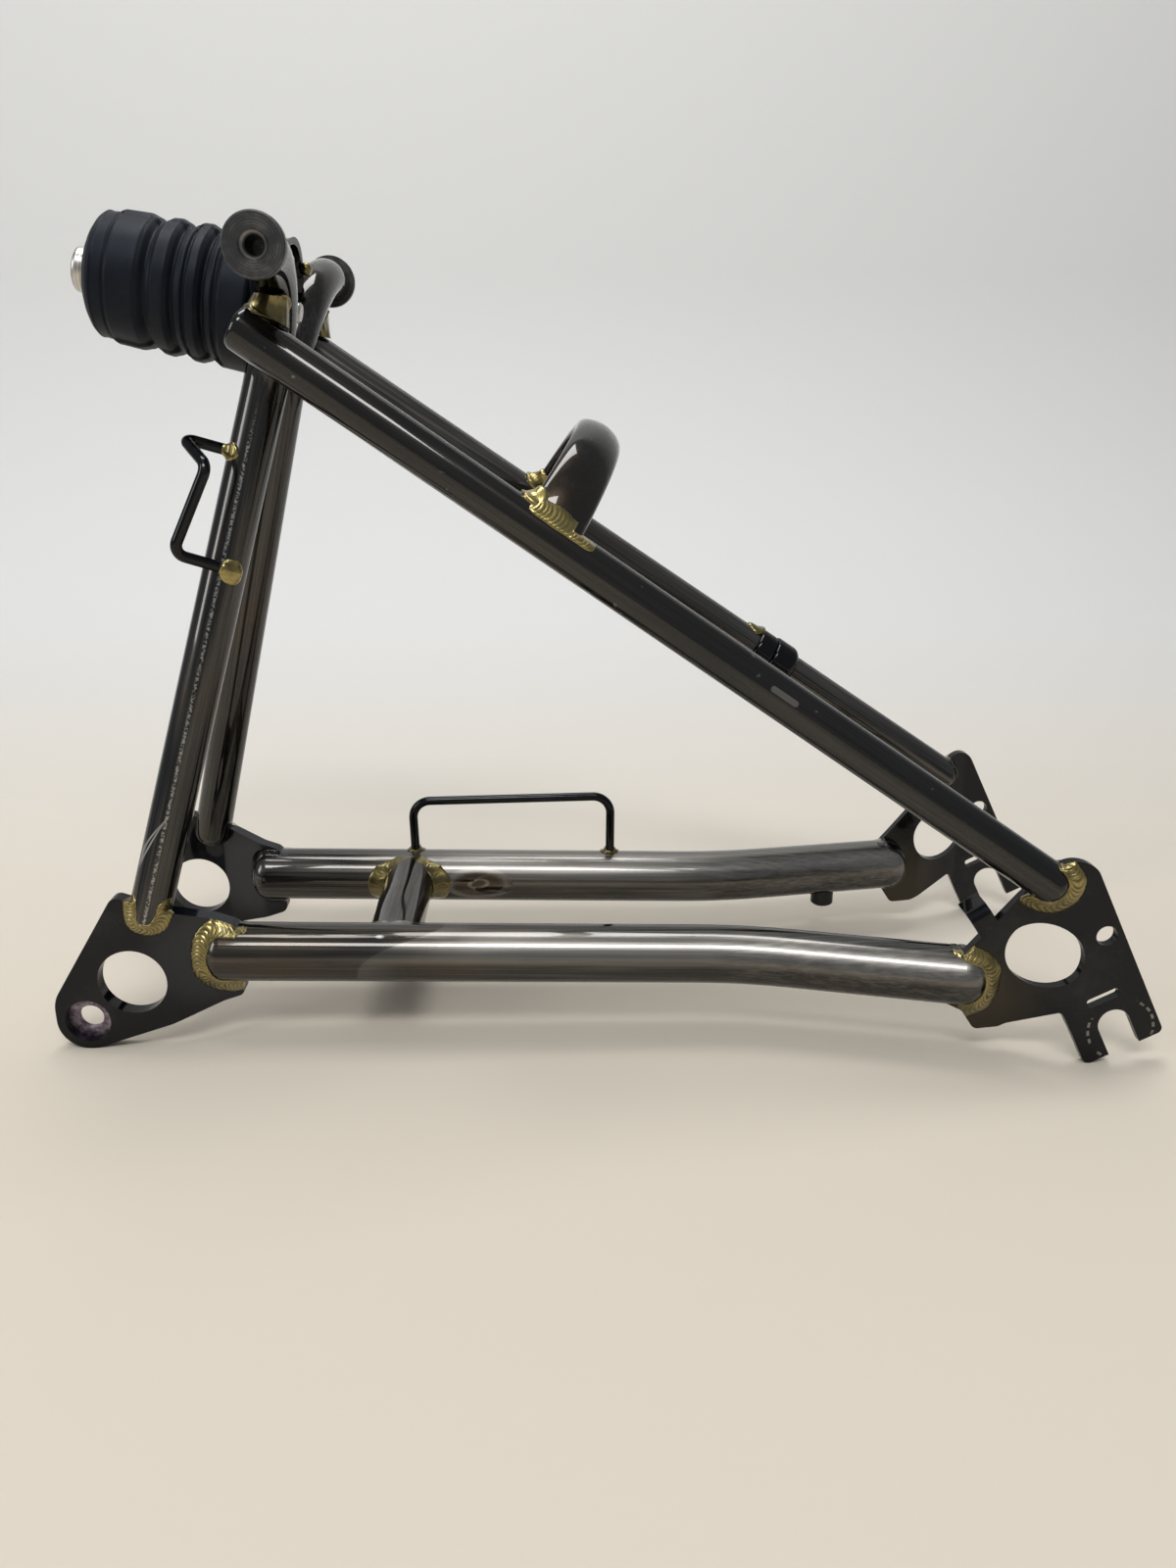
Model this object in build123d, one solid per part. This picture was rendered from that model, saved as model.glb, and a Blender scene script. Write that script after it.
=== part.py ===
from build123d import *
from math import atan2, cos, radians, sin, tan
import os

# Rear triangle of a small-wheeled folding bicycle: brazed steel tube and plate with a rubber block.
# Millimetres. The origin is on the pivot axis in the middle plane, +X runs back to the wheel axle,
# +Y to the drive side and +Z up. The left half is at negative Y and the right half mirrors it.

# Sheet plates at the pivot and at the axle
PLATE_T = 5.0
PIVOT_GAP = 72.0
HUB_GAP = 112.0
BEND_R = 4.0
LUG_R = 10.0
LUG_HEIGHT = 43.5
LUG_FRONT_TURN = 7.2
LUG_REAR = 49.5
LUG_RISE = 18.3
LUG_LEAN = 32.2
LUG_TOP_FALL = 19.9
LUG_CRANK = 6.0
LUG_CRANK_FROM = 27.0
LUG_CRANK_LENGTH = 15.0
LUG_HOLE_R = 11.0
LUG_HOLE_AT = (15.8, 13.8)
PIVOT_BORE = 8.0
PIVOT_SEAT = 14.5
PIVOT_SEAT_DEPTH = 3.0

# Axle plates, drawn about the axle with u across the slot and v up it
AXLE_PLATE_T = 3.0
AXLE_X = 327.0
AXLE_Z = 4.0
AXLE_TILT = 27.1
AXLE_SLOT = 10.2
TINE_W = 8.1
TINE_CORNER = 2.0
AXLE_CRANK = 8.0
AXLE_CRANK_FROM = 296.0
AXLE_CRANK_LENGTH = 17.0
KEY_SLIT = (10.4, 3.2)
KEY_SLIT_UP = 10.3
PLATE_HOLES_UP = 30.3
LIGHT_HOLE_R = 10.9
LIGHT_HOLE_U = -10.7
SMALL_HOLE_D = 6.5
SMALL_HOLE_U = 8.1

# Tubes
CHAINSTAY_D = 19.2
CHAINSTAY_START = 38.0
CHAINSTAY_END = 289.0
CHAINSTAY_Z = 20.3
CHAINSTAY_FALL = 0.0199
CHAINSTAY_BEND_X = 213.0
CHAINSTAY_BEND_R = 160.0
CHAINSTAY_INSET = 1.2
DENT_X = 128.0
DENT_SIZE = (8.5, 3.4, 6.2)
UPRIGHT_D = 13.0
UPRIGHT_FOOT_Z = 31.5
UPRIGHT_FOOT_BACK = 5.5
UPRIGHT_FOOT_IN = 1.0
UPRIGHT_TOP_X = 76.8
UPRIGHT_TOP_Z = 228.2
UPRIGHT_CORNER_Y = 7.5
UPRIGHT_ELBOW_R = 34.0
SEATSTAY_D = 13.0
SEATSTAY_TIP = (64.5, 32.5, 210.7)
SEATSTAY_END = (307.0, 53.5, 47.7)
BRIDGE_D = 14.0
BRIDGE_X = 97.0
BRIDGE_UP = 1.0
TUBE_WALL = 1.0

# Roller bosses in the ends of the two elbows
BOSS_FACE_Y = 55.5
BOSS_D = 16.4
BOSS_FLANGE = 2.5
BOSS_SPIGOT = 9.0
BOSS_THREAD = 5.0
BOSS_CHAMFER = 1.5

# Rubber block on its own sloping axis, with stations measured along it from the nose
BLOCK_FALL = 10.8
BLOCK_TO_ELBOW = (11.3, 10.95)
NOSE_D = 13.0
NOSE_PROUD = 3.8
RUBBER_LENGTH = 50.4
RUBBER_FRONT_R = 17.8
RUBBER_REAR_R = 20.0
GROOVE_R = 2.6
GROOVE_DEPTH = 1.5
GROOVE_RIM_R = 1.2
GROOVES_AT = (0.42, 0.59, 0.76)
BAND_LENGTH = 3.6
DISH_RIM_R = 20.5
DISH_DEPTH = 7.5
DISH_T = 2.0
DISH_FLOOR_R = 13.5
BOLT_D = 6.0
WASHER_D = 12.0
WASHER_T = 1.6
NUT_AF = 10.0
NUT_H = 6.0
BOLT_PROUD = 2.0

# Pressed arch between the seatstays, and the small brazed-on pieces
ARCH_X = 142.3
ARCH_WIDTH = 18.5
ARCH_RISE = 25.5
ARCH_T = 2.0
ARCH_LIP = 8.0
ARCH_ROUND = 11.0
ARCH_LEAN = 2.6
GUIDE_WIRE_D = 3.2
GUIDE_WIRE_BEND = 6.5
GUIDE_FRONT_X = 98.4
GUIDE_REAR_X = 171.9
GUIDE_TOP_Z = 49.2
LOOP_WIRE_D = 3.4
LOOP_UPPER_Z = 175.2
LOOP_LOWER_Z = 141.6
LOOP_HOOK = (5.0, 11.0)
LOOP_ARM = (9.0, 5.0)
LOOP_BENDS = (2.2, 3.6, 3.6)
PEG_D = 8.6
PEG_X = 256.2
PEG_DROP = 5.0
STOP_X = 231.5
STOP_D = 17.0
STOP_LENGTH = 18.0
HORN_W = 7.0
HORN_T = 3.0
HORN_LEAN = 34.0
HORN_UP = 6.5
HORN_REACH = 9.5

# Brass fillets
BEAD_D = 6.0
SMALL_BEAD_D = 5.4
SEAT_BEAD_OUT = 0.8
ARCH_BEAD_D = 8.0
BEAD_DROP_D = 6.6

REST_Z = -LUG_R
PIVOT_MID = PIVOT_GAP / 2 + PLATE_T / 2
LUG_REAR_MID = PIVOT_MID - LUG_CRANK
AXLE_MID = HUB_GAP / 2 + AXLE_PLATE_T / 2
AXLE_FRONT_MID = AXLE_MID - AXLE_CRANK
CHAINSTAY_Y = LUG_REAR_MID
CHAINSTAY_REAR_Y = AXLE_FRONT_MID - CHAINSTAY_INSET


def chainstay_z(x):
    """Height of the chainstay's centre line at x."""
    return CHAINSTAY_Z - CHAINSTAY_FALL * (x - CHAINSTAY_START)


def upright_point(z):
    """Point of the left upright's straight centre line at height z."""
    foot = Vector(LUG_HOLE_AT[0] + UPRIGHT_FOOT_BACK, UPRIGHT_FOOT_IN - PIVOT_MID, UPRIGHT_FOOT_Z)
    corner = Vector(UPRIGHT_TOP_X, -UPRIGHT_CORNER_Y, UPRIGHT_TOP_Z)
    return foot + (corner - foot) * ((z - foot.Z) / (corner.Z - foot.Z))


def seatstay_point(x):
    """Point of the left seatstay's centre line at x."""
    tip = Vector(SEATSTAY_TIP[0], -SEATSTAY_TIP[1], SEATSTAY_TIP[2])
    end = Vector(SEATSTAY_END[0], -SEATSTAY_END[1], SEATSTAY_END[2])
    return tip + (end - tip) * ((x - tip.X) / (end.X - tip.X))


def mirrored(solid):
    """The same piece on the other side of the bicycle."""
    return mirror(solid, about=Plane.XZ)


def rod(points, diameter, bend=0.0):
    """Round bar along straight runs that tangent bends join."""
    route = FilletPolyline(*points, radius=bend) if len(points) > 2 else Line(*points)
    section = Plane(origin=route @ 0, z_dir=route % 0) * Circle(diameter / 2)
    return sweep(section, path=route)


def round_end(solid, end, radius):
    """Round the rim of the bar's end whose middle is at end."""
    rim = solid.edges().filter_by(GeomType.CIRCLE).sort_by_distance(end)[0]
    return fillet(rim, radius)


def outline_prism(corners, frame=Plane.XZ, reach=90.0):
    """Prism across the bicycle on an outline of corners, each with its own radius."""
    points = [(u, v) for u, v, r in corners]
    outline = make_face(FilletPolyline(*points, radius=[r for u, v, r in corners], close=True))
    return extrude(frame * outline, amount=reach, both=True)


def cranked_sheet(thick, ends, crank_from, crank_length, mid_a, mid_b):
    """Sheet across the bicycle that steps sideways from one middle line to the other."""
    start, stop = ends
    angle = atan2(mid_b - mid_a, crank_length)
    shift = thick * tan(angle / 2)
    low = -thick / 2
    high = thick / 2
    crank_to = crank_from + crank_length
    rises = mid_b > mid_a
    low_radii = [BEND_R + thick, BEND_R] if rises else [BEND_R, BEND_R + thick]
    lower = FilletPolyline(
        (start, mid_a + low),
        (crank_from + shift / 2, mid_a + low),
        (crank_to + shift / 2, mid_b + low),
        (stop, mid_b + low),
        radius=low_radii,
    )
    upper = FilletPolyline(
        (start, mid_a + high),
        (crank_from - shift / 2, mid_a + high),
        (crank_to - shift / 2, mid_b + high),
        (stop, mid_b + high),
        radius=low_radii[::-1],
    )
    face = make_face([lower, Line(lower @ 1, upper @ 1), upper, Line(upper @ 0, lower @ 0)])
    return extrude(face, amount=150.0, both=True)


def pivot_plate_left():
    """Cranked lug plate with the counterbored pivot hole and a large round window."""
    rise = radians(LUG_RISE)
    lean = radians(LUG_LEAN)
    fall = radians(LUG_TOP_FALL)
    front_top = Vector(-LUG_R + (LUG_HEIGHT - LUG_FRONT_TURN) * tan(lean), LUG_HEIGHT)
    rear_top = LUG_HEIGHT - (LUG_REAR - front_top.X) * tan(fall)
    rear_low = (LUG_REAR * sin(rise) - LUG_R) / cos(rise)
    corners = [
        (-LUG_R, -LUG_R * (1 + sin(rise)) / cos(rise), LUG_R),
        (LUG_REAR, rear_low, 3.0),
        (LUG_REAR, rear_top, 4.0),
        (front_top.X, front_top.Y, 3.0),
        (-LUG_R, LUG_FRONT_TURN, 12.0),
    ]
    ends = (-4 * LUG_R, LUG_REAR + 4 * LUG_R)
    sheet = cranked_sheet(PLATE_T, ends, LUG_CRANK_FROM, LUG_CRANK_LENGTH, -PIVOT_MID, -LUG_REAR_MID)
    plate = sheet & outline_prism(corners)
    window = Plane.XZ * Pos(*LUG_HOLE_AT) * Circle(LUG_HOLE_R)
    plate -= extrude(window, amount=90.0, both=True)
    plate -= extrude(Plane.XZ * Circle(PIVOT_BORE / 2), amount=90.0, both=True)
    seat = Plane((0, -PIVOT_MID - PLATE_T / 2, 0), z_dir=(0, 1, 0)) * Circle(PIVOT_SEAT / 2)
    plate -= extrude(seat, amount=PIVOT_SEAT_DEPTH)
    return plate


def axle_frame():
    """Drawing plane about the axle: local x across the slot, local y up it."""
    tilt = radians(AXLE_TILT)
    return Plane(origin=(AXLE_X, 0, AXLE_Z), x_dir=(cos(tilt), 0, sin(tilt)), z_dir=(0, -1, 0))


def axle_local(x, z):
    """A point of the middle plane in the axle plate's own drawing frame."""
    point = axle_frame().to_local_coords(Vector(x, 0, z))
    return point.X, point.Y


def dropout(horned):
    """Cranked axle plate with a downward slot, a key slit, two holes and, on the left, a horn."""
    tilt = radians(AXLE_TILT)
    half = AXLE_SLOT / 2 + TINE_W
    x = CHAINSTAY_END
    z = chainstay_z(CHAINSTAY_END)
    across = (-half + TINE_CORNER) * sin(tilt)
    tine = (AXLE_Z + across - TINE_CORNER - REST_Z) / cos(tilt) + TINE_CORNER
    corners = [
        (-half, -tine, TINE_CORNER),
        (half, -tine, TINE_CORNER),
        (half, 60.9, 6.5),
        (*axle_local(x - 16.0, z + 0.6), 2.0),
        (*axle_local(x - 16.0, z - 6.3), 2.0),
        (*axle_local(x - 8.0, z - 10.3), 3.0),
        (*axle_local(x - 3.5, z - 17.0), 2.5),
        (-half - 19.0, 10.9, 3.0),
        (-half, 10.9, 1.2),
    ]
    ends = (CHAINSTAY_END - 40.0, AXLE_X + 43.0)
    crank = (AXLE_CRANK_FROM, AXLE_CRANK_LENGTH, AXLE_FRONT_MID, AXLE_MID)
    sheet = cranked_sheet(AXLE_PLATE_T, ends, *crank)
    plate = sheet & outline_prism(corners, axle_frame())
    slot = Pos(0, -20) * Rectangle(AXLE_SLOT, 40.0) + Circle(AXLE_SLOT / 2)
    slit = Pos(0, KEY_SLIT_UP) * RectangleRounded(*KEY_SLIT, 1.0)
    light = Pos(LIGHT_HOLE_U, PLATE_HOLES_UP) * Circle(LIGHT_HOLE_R)
    small = Pos(SMALL_HOLE_U, PLATE_HOLES_UP) * Circle(SMALL_HOLE_D / 2)
    for cut in (slot, slit, light, small):
        plate -= extrude(axle_frame() * cut, amount=90.0, both=True)
    if horned:
        plate += horn()
    return plate


def horn():
    """Small claw on the plate's upper front edge, bent in towards the wheel."""
    edge = Vector(CHAINSTAY_END - 1.7, AXLE_FRONT_MID, chainstay_z(CHAINSTAY_END) + 17.6)
    lean = radians(HORN_LEAN)
    frame = Plane(edge, x_dir=(-sin(lean), 0, cos(lean)), z_dir=(cos(lean), 0, sin(lean)))
    half = HORN_T / 2
    profile = [
        (-3.0, -half, 0.0),
        (HORN_UP + half, -half, HORN_T + 0.5),
        (HORN_UP + half, HORN_REACH, 1.0),
        (HORN_UP - half, HORN_REACH, 1.0),
        (HORN_UP - half, half, 1.0),
        (-3.0, half, 0.0),
    ]
    return outline_prism(profile, frame, HORN_W / 2)


def chainstay_left():
    """Large lower tube, bent outwards before the axle, with both ends closed round."""
    start = (CHAINSTAY_START, -CHAINSTAY_Y, CHAINSTAY_Z)
    bend = (CHAINSTAY_BEND_X, -CHAINSTAY_Y, chainstay_z(CHAINSTAY_BEND_X))
    end = (CHAINSTAY_END, -CHAINSTAY_REAR_Y, chainstay_z(CHAINSTAY_END))
    tube = rod([start, bend, end], CHAINSTAY_D, CHAINSTAY_BEND_R)
    tube = round_end(tube, start, CHAINSTAY_D * 0.3)
    return round_end(tube, end, CHAINSTAY_D * 0.4)


def upright_left():
    """Slim tube that rises and converges, then turns outwards into the roller boss."""
    foot = upright_point(UPRIGHT_FOOT_Z)
    corner = Vector(UPRIGHT_TOP_X, -UPRIGHT_CORNER_Y, UPRIGHT_TOP_Z)
    end = Vector(UPRIGHT_TOP_X, -BOSS_FACE_Y + BOSS_FLANGE, UPRIGHT_TOP_Z)
    tube = rod([foot, corner, end], UPRIGHT_D, UPRIGHT_ELBOW_R)
    tube = round_end(tube, foot, UPRIGHT_D * 0.35)
    bore = Plane(end, z_dir=(0, 1, 0)) * Circle(UPRIGHT_D / 2 - TUBE_WALL)
    return tube - extrude(bore, amount=BOSS_SPIGOT)


def seatstay_left():
    """Slim sloping tube from beside the elbow down to the axle plate."""
    tip = seatstay_point(SEATSTAY_TIP[0])
    end = seatstay_point(SEATSTAY_END[0])
    tube = rod([tip, end], SEATSTAY_D)
    tube = round_end(tube, tip, 2.5)
    return round_end(tube, end, SEATSTAY_D * 0.33)


def roller_boss_left():
    """Turned boss with a flange, pressed in the elbow and threaded for the roller's bolt."""
    face = Plane((UPRIGHT_TOP_X, -BOSS_FACE_Y, UPRIGHT_TOP_Z), z_dir=(0, 1, 0))
    boss = extrude(face * Circle(BOSS_D / 2), amount=BOSS_FLANGE)
    boss = fillet(boss.edges().filter_by(GeomType.CIRCLE).sort_by(Axis.Y)[0], 0.5)
    spigot = Pos(0, 0, BOSS_FLANGE) * Cylinder(
        UPRIGHT_D / 2 - TUBE_WALL, BOSS_SPIGOT, align=(Align.CENTER, Align.CENTER, Align.MIN)
    )
    boss += face * spigot
    depth = BOSS_FLANGE + BOSS_SPIGOT - 1.5
    drill = Cylinder(BOSS_THREAD / 2, depth, align=(Align.CENTER, Align.CENTER, Align.MIN))
    mouth = Cone(
        BOSS_THREAD / 2 + BOSS_CHAMFER, BOSS_THREAD / 2, BOSS_CHAMFER,
        align=(Align.CENTER, Align.CENTER, Align.MIN),
    )
    return boss - face * (drill + mouth)


def bridge():
    """Short tube across the bicycle between the chainstays."""
    z = chainstay_z(BRIDGE_X) + BRIDGE_UP
    return rod([(BRIDGE_X, -CHAINSTAY_Y, z), (BRIDGE_X, CHAINSTAY_Y, z)], BRIDGE_D)


def bridge_bead_left():
    """Wide brass collar where the bridge meets the left chainstay."""
    z = chainstay_z(BRIDGE_X) + BRIDGE_UP
    foot = Plane((BRIDGE_X, -CHAINSTAY_Y + 4.0, z - BRIDGE_UP), x_dir=(1, 0, 0), z_dir=(0, 1, 0))
    neck = Plane((BRIDGE_X, -CHAINSTAY_Y + 15.5, z), x_dir=(1, 0, 0), z_dir=(0, 1, 0))
    wide = foot * Ellipse(BRIDGE_D / 2 + 7.5, CHAINSTAY_D / 2 - 1.0)
    narrow = neck * Ellipse(BRIDGE_D / 2 + 0.3, BRIDGE_D / 2 + 0.3)
    return loft([wide, narrow])


def block_frame():
    """Plane at the nose's tip: local x is the drive side and local z back along the block.

    The block's rear face is held by the two elbows, so a longer block reaches further forward.
    """
    fall = radians(BLOCK_FALL)
    back = Vector(cos(fall), 0, -sin(fall))
    seat = Vector(UPRIGHT_TOP_X - BLOCK_TO_ELBOW[0], 0, UPRIGHT_TOP_Z - BLOCK_TO_ELBOW[1])
    return Plane(seat - back * (NOSE_PROUD + RUBBER_LENGTH), x_dir=(0, 1, 0), z_dir=back)


def block_radius(station):
    """Outer radius of the rubber's rings, which grows a little to the rear."""
    share = (station - NOSE_PROUD) / RUBBER_LENGTH
    return RUBBER_FRONT_R + (RUBBER_REAR_R - RUBBER_FRONT_R) * share + 0.6 * (1 - share)


def suspension_block():
    """Moulded rubber cone with a front band, two rounded rings and a plain rear part."""
    front = NOSE_PROUD
    rear = NOSE_PROUD + RUBBER_LENGTH
    band = front + 5.0
    step = band + BAND_LENGTH
    core = BOLT_D / 2
    outline = Polyline(
        (core, front),
        (NOSE_D / 2 + 1.0, front),
        (RUBBER_FRONT_R * 0.82, front + 2.6),
        (RUBBER_FRONT_R - 0.6, band - 1.2),
        (RUBBER_FRONT_R, band),
        (RUBBER_FRONT_R, step),
        (block_radius(step), step + 0.5),
        (block_radius(rear), rear - 1.0),
        (block_radius(rear) - 1.0, rear),
        (core, rear),
        (core, front),
    )
    profile = Plane.XZ * make_face(outline)
    block = revolve(profile, Axis.Z)
    for share in GROOVES_AT:
        station = front + RUBBER_LENGTH * share
        groove = Torus(block_radius(station) + GROOVE_R - GROOVE_DEPTH, GROOVE_R)
        block -= Pos(0, 0, station) * groove
        rims = block.edges().filter_by(GeomType.CIRCLE).sort_by_distance((0, 0, station))
        near = [e for e in rims if 0.5 < abs(e.arc_center.Z - station) < GROOVE_R]
        block = fillet(near, GROOVE_RIM_R)
    return block_frame() * block


def nose_bolt():
    """Bolt through the block: its round head is the steel nose at the front."""
    length = NOSE_PROUD + RUBBER_LENGTH + DISH_T + WASHER_T + NUT_H + BOLT_PROUD
    head = Cylinder(NOSE_D / 2, NOSE_PROUD, align=(Align.CENTER, Align.CENTER, Align.MIN))
    head = fillet(head.edges().sort_by(Axis.Z)[0], 1.2)
    shank = Cylinder(BOLT_D / 2, length, align=(Align.CENTER, Align.CENTER, Align.MIN))
    shank = chamfer(shank.edges().sort_by(Axis.Z)[-1], 0.6)
    return block_frame() * (head + shank)


def block_dish():
    """Pressed cup behind the rubber, open to the rear and notched round the two elbows."""
    floor = NOSE_PROUD + RUBBER_LENGTH
    rim = floor + DISH_DEPTH
    outer = Polyline(
        (BOLT_D / 2, floor),
        (DISH_FLOOR_R, floor),
        (DISH_RIM_R - 1.6, floor + DISH_DEPTH * 0.45),
        (DISH_RIM_R, rim),
        (DISH_RIM_R - DISH_T, rim),
        (DISH_RIM_R - DISH_T - 1.6, floor + DISH_DEPTH * 0.45 + 1.0),
        (DISH_FLOOR_R - 0.8, floor + DISH_T),
        (BOLT_D / 2, floor + DISH_T),
        (BOLT_D / 2, floor),
    )
    cup = revolve(Plane.XZ * make_face(outer), Axis.Z)
    return block_frame() * cup


def block_washer():
    """Flat washer under the nut."""
    station = NOSE_PROUD + RUBBER_LENGTH + DISH_T
    ring = Cylinder(WASHER_D / 2, WASHER_T, align=(Align.CENTER, Align.CENTER, Align.MIN))
    hole = Cylinder(BOLT_D / 2, WASHER_T, align=(Align.CENTER, Align.CENTER, Align.MIN))
    return block_frame() * Pos(0, 0, station) * (ring - hole)


def block_nut():
    """Locking nut between the two tubes: a hexagon with a round collar."""
    station = NOSE_PROUD + RUBBER_LENGTH + DISH_T + WASHER_T
    hexagon = extrude(RegularPolygon(NUT_AF / 2, 6, major_radius=False), amount=NUT_H * 0.7)
    collar = Cylinder(NUT_AF / 2 - 0.3, NUT_H, align=(Align.CENTER, Align.CENTER, Align.MIN))
    collar = fillet(collar.edges().sort_by(Axis.Z)[-1], 0.8)
    hole = Cylinder(BOLT_D / 2, NUT_H, align=(Align.CENTER, Align.CENTER, Align.MIN))
    return block_frame() * Pos(0, 0, station) * (hexagon + collar - hole)


def arch_frame():
    """Plane square to the seatstays: local x is the drive side, local y away from the stays."""
    slope = seatstay_point(250.0) - seatstay_point(150.0)
    along = Vector(slope.X, 0, slope.Z).normalized()
    start = seatstay_point(ARCH_X)
    return Plane((start.X, 0, start.Z), x_dir=(0, 1, 0), z_dir=along)


def arch_solid(inset, start, stop):
    """Arched solid over the wheel, smaller by inset, from start to stop along the stays."""
    frame = arch_frame()
    half_span = -seatstay_point(ARCH_X).Y + SEATSTAY_D / 4 - inset
    crown = SEATSTAY_D / 2 + ARCH_RISE - inset
    across = make_face([
        ThreePointArc((-half_span, 0), (0, crown), (half_span, 0)),
        Line((half_span, 0), (-half_span, 0)),
    ])
    moved = Plane(frame.origin + frame.z_dir * start, x_dir=frame.x_dir, z_dir=frame.z_dir)
    return extrude(moved * across, amount=stop - start)


def arch_side(inset, start):
    """Side outline of the arch as a prism: its rear edge leans in and is rounded over."""
    frame = arch_frame()
    side = Plane(frame.origin, x_dir=frame.z_dir, z_dir=frame.x_dir * -1)
    height = SEATSTAY_D / 2 + ARCH_RISE - inset
    profile = [
        (start, -1.0, 0.0),
        (ARCH_WIDTH - inset, -1.0, 0.0),
        (ARCH_WIDTH - ARCH_LEAN - inset, height, ARCH_ROUND - inset),
        (start, height, 0.0),
    ]
    return outline_prism(profile, side)


def seatstay_arch():
    """Pressed arch over the wheel, its rear edge turned down as a lip."""
    shell = arch_solid(0.0, 0.0, ARCH_WIDTH) & arch_side(0.0, -1.0)
    before = -ARCH_T
    shell -= arch_solid(ARCH_T, before, ARCH_WIDTH) & arch_side(ARCH_T, 2 * before)
    return shell - arch_solid(ARCH_LIP, before, ARCH_WIDTH + ARCH_LIP)


def guide_wire_right():
    """Bent wire that stands on the right chainstay."""
    front = chainstay_z(GUIDE_FRONT_X)
    rear = chainstay_z(GUIDE_REAR_X)
    points = [
        (GUIDE_FRONT_X + 0.6, CHAINSTAY_Y, front),
        (GUIDE_FRONT_X, CHAINSTAY_Y, GUIDE_TOP_Z - 0.8),
        (GUIDE_REAR_X + 0.2, CHAINSTAY_Y, GUIDE_TOP_Z + 0.6),
        (GUIDE_REAR_X, CHAINSTAY_Y, rear),
    ]
    return rod(points, GUIDE_WIRE_D, GUIDE_WIRE_BEND)


def loop_route():
    """Corners of the hooked wire, from its upper foot in the left upright to its lower one."""
    upper = upright_point(LOOP_UPPER_Z)
    lower = upright_point(LOOP_LOWER_Z)
    up, out = LOOP_HOOK
    rise, ahead = LOOP_ARM
    return [
        upper + Vector(-2.0, -0.4, 0.0),
        upper + Vector(-2.0 - 1.4 * out, -out * 0.6, up),
        upper + Vector(-ahead - 3.4, -out - 6.4, 2.8 - up),
        lower + Vector(-2.2 * ahead, -out - 2.3, rise - 2.0),
        lower + Vector(ahead - 0.3, -3.3, 0.0),
    ]


def cable_loop_left():
    """Hooked wire on the left upright."""
    return rod(loop_route(), LOOP_WIRE_D, list(LOOP_BENDS))


def cable_peg_right():
    """Short round peg under the right chainstay."""
    along = (PEG_X - CHAINSTAY_BEND_X) / (CHAINSTAY_END - CHAINSTAY_BEND_X)
    y = CHAINSTAY_Y + (CHAINSTAY_REAR_Y - CHAINSTAY_Y) * along
    z = chainstay_z(PEG_X)
    peg = Pos(PEG_X, y, z) * Cylinder(
        PEG_D / 2, CHAINSTAY_D / 2 + PEG_DROP, align=(Align.CENTER, Align.CENTER, Align.MAX)
    )
    return chamfer(peg.edges().sort_by(Axis.Z)[0], 0.6)


def cable_stop_right():
    """Two rounded collars in one piece round the right seatstay."""
    middle = seatstay_point(STOP_X)
    slope = (seatstay_point(250.0) - seatstay_point(150.0)).normalized()
    lead = middle - slope * (STOP_LENGTH / 2)
    axis = Plane(lead, z_dir=slope)
    front = Cylinder(STOP_D / 2 - 0.5, STOP_LENGTH * 0.43, align=(Align.CENTER, Align.CENTER, Align.MIN))
    front = fillet(front.edges().filter_by(GeomType.CIRCLE), 1.5)
    rear = Pos(0, 0, STOP_LENGTH * 0.41) * Cylinder(
        STOP_D / 2, STOP_LENGTH * 0.59, align=(Align.CENTER, Align.CENTER, Align.MIN)
    )
    rear = fillet(rear.edges().filter_by(GeomType.CIRCLE).sort_by(Axis.Z)[0], 1.2)
    rear = fillet(rear.edges().filter_by(GeomType.CIRCLE).sort_by(Axis.Z)[-1], 3.5)
    return mirrored(axis * (front + rear))


def weld(points, diameter, bend=3.0):
    """Brass run along a joint: a round bead whose two ends are rounded off."""
    bead = rod(points, diameter, bend)
    for end in (points[0], points[-1]):
        bead = round_end(bead, end, diameter * 0.4)
    return bead


def both_faces(route, mid, thick, diameter, bend):
    """The same bead, drawn in the side view, on the two faces of a left-hand plate."""
    faces = (mid - thick / 2, mid + thick / 2)
    outer, inner = [weld([(x, y, z) for x, z in route], diameter, bend) for y in faces]
    return outer + inner


def pivot_chainstay_bead():
    """Brass round the chainstay's front end on the left lug plate."""
    x = CHAINSTAY_START
    z = chainstay_z(x)
    edge = CHAINSTAY_D / 2
    rear = LUG_REAR + 1.5
    route = [
        (rear, z + edge + 0.9),
        (x - 2.2, z + edge - 2.0),
        (x - 2.6, z - edge + 5.0),
        (x + 3.0, z - edge - 0.4),
        (rear, z - edge + 0.1),
    ]
    return both_faces(route, -LUG_REAR_MID, PLATE_T, BEAD_D, [4.0, 4.0, 3.0])


def pivot_upright_bead():
    """Brass round the upright's foot on the left lug plate."""
    top = upright_point(LUG_HEIGHT + 0.5)
    foot = UPRIGHT_FOOT_Z - 2.0
    middle = upright_point(foot)
    half = UPRIGHT_D / 2
    route = [
        (top.X - half, top.Z),
        (middle.X - half + 1.0, foot),
        (middle.X + half + 0.6, foot),
        (top.X + half, top.Z - 1.5),
    ]
    return both_faces(route, -PIVOT_MID, PLATE_T, SMALL_BEAD_D, 4.5)


def dropout_chainstay_bead():
    """Brass round the chainstay's rear end on the axle plate."""
    x = CHAINSTAY_END
    z = chainstay_z(x)
    edge = CHAINSTAY_D / 2
    route = [
        (x - 13.5, z + edge - 0.8),
        (x - 1.0, z + edge - 3.4),
        (x + 4.8, z + 1.0),
        (x + 3.4, z - edge + 0.6),
        (x - 6.0, z - edge - 1.6),
    ]
    return both_faces(route, -AXLE_FRONT_MID, AXLE_PLATE_T, BEAD_D, [5.0, 4.0, 3.5])


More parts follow.
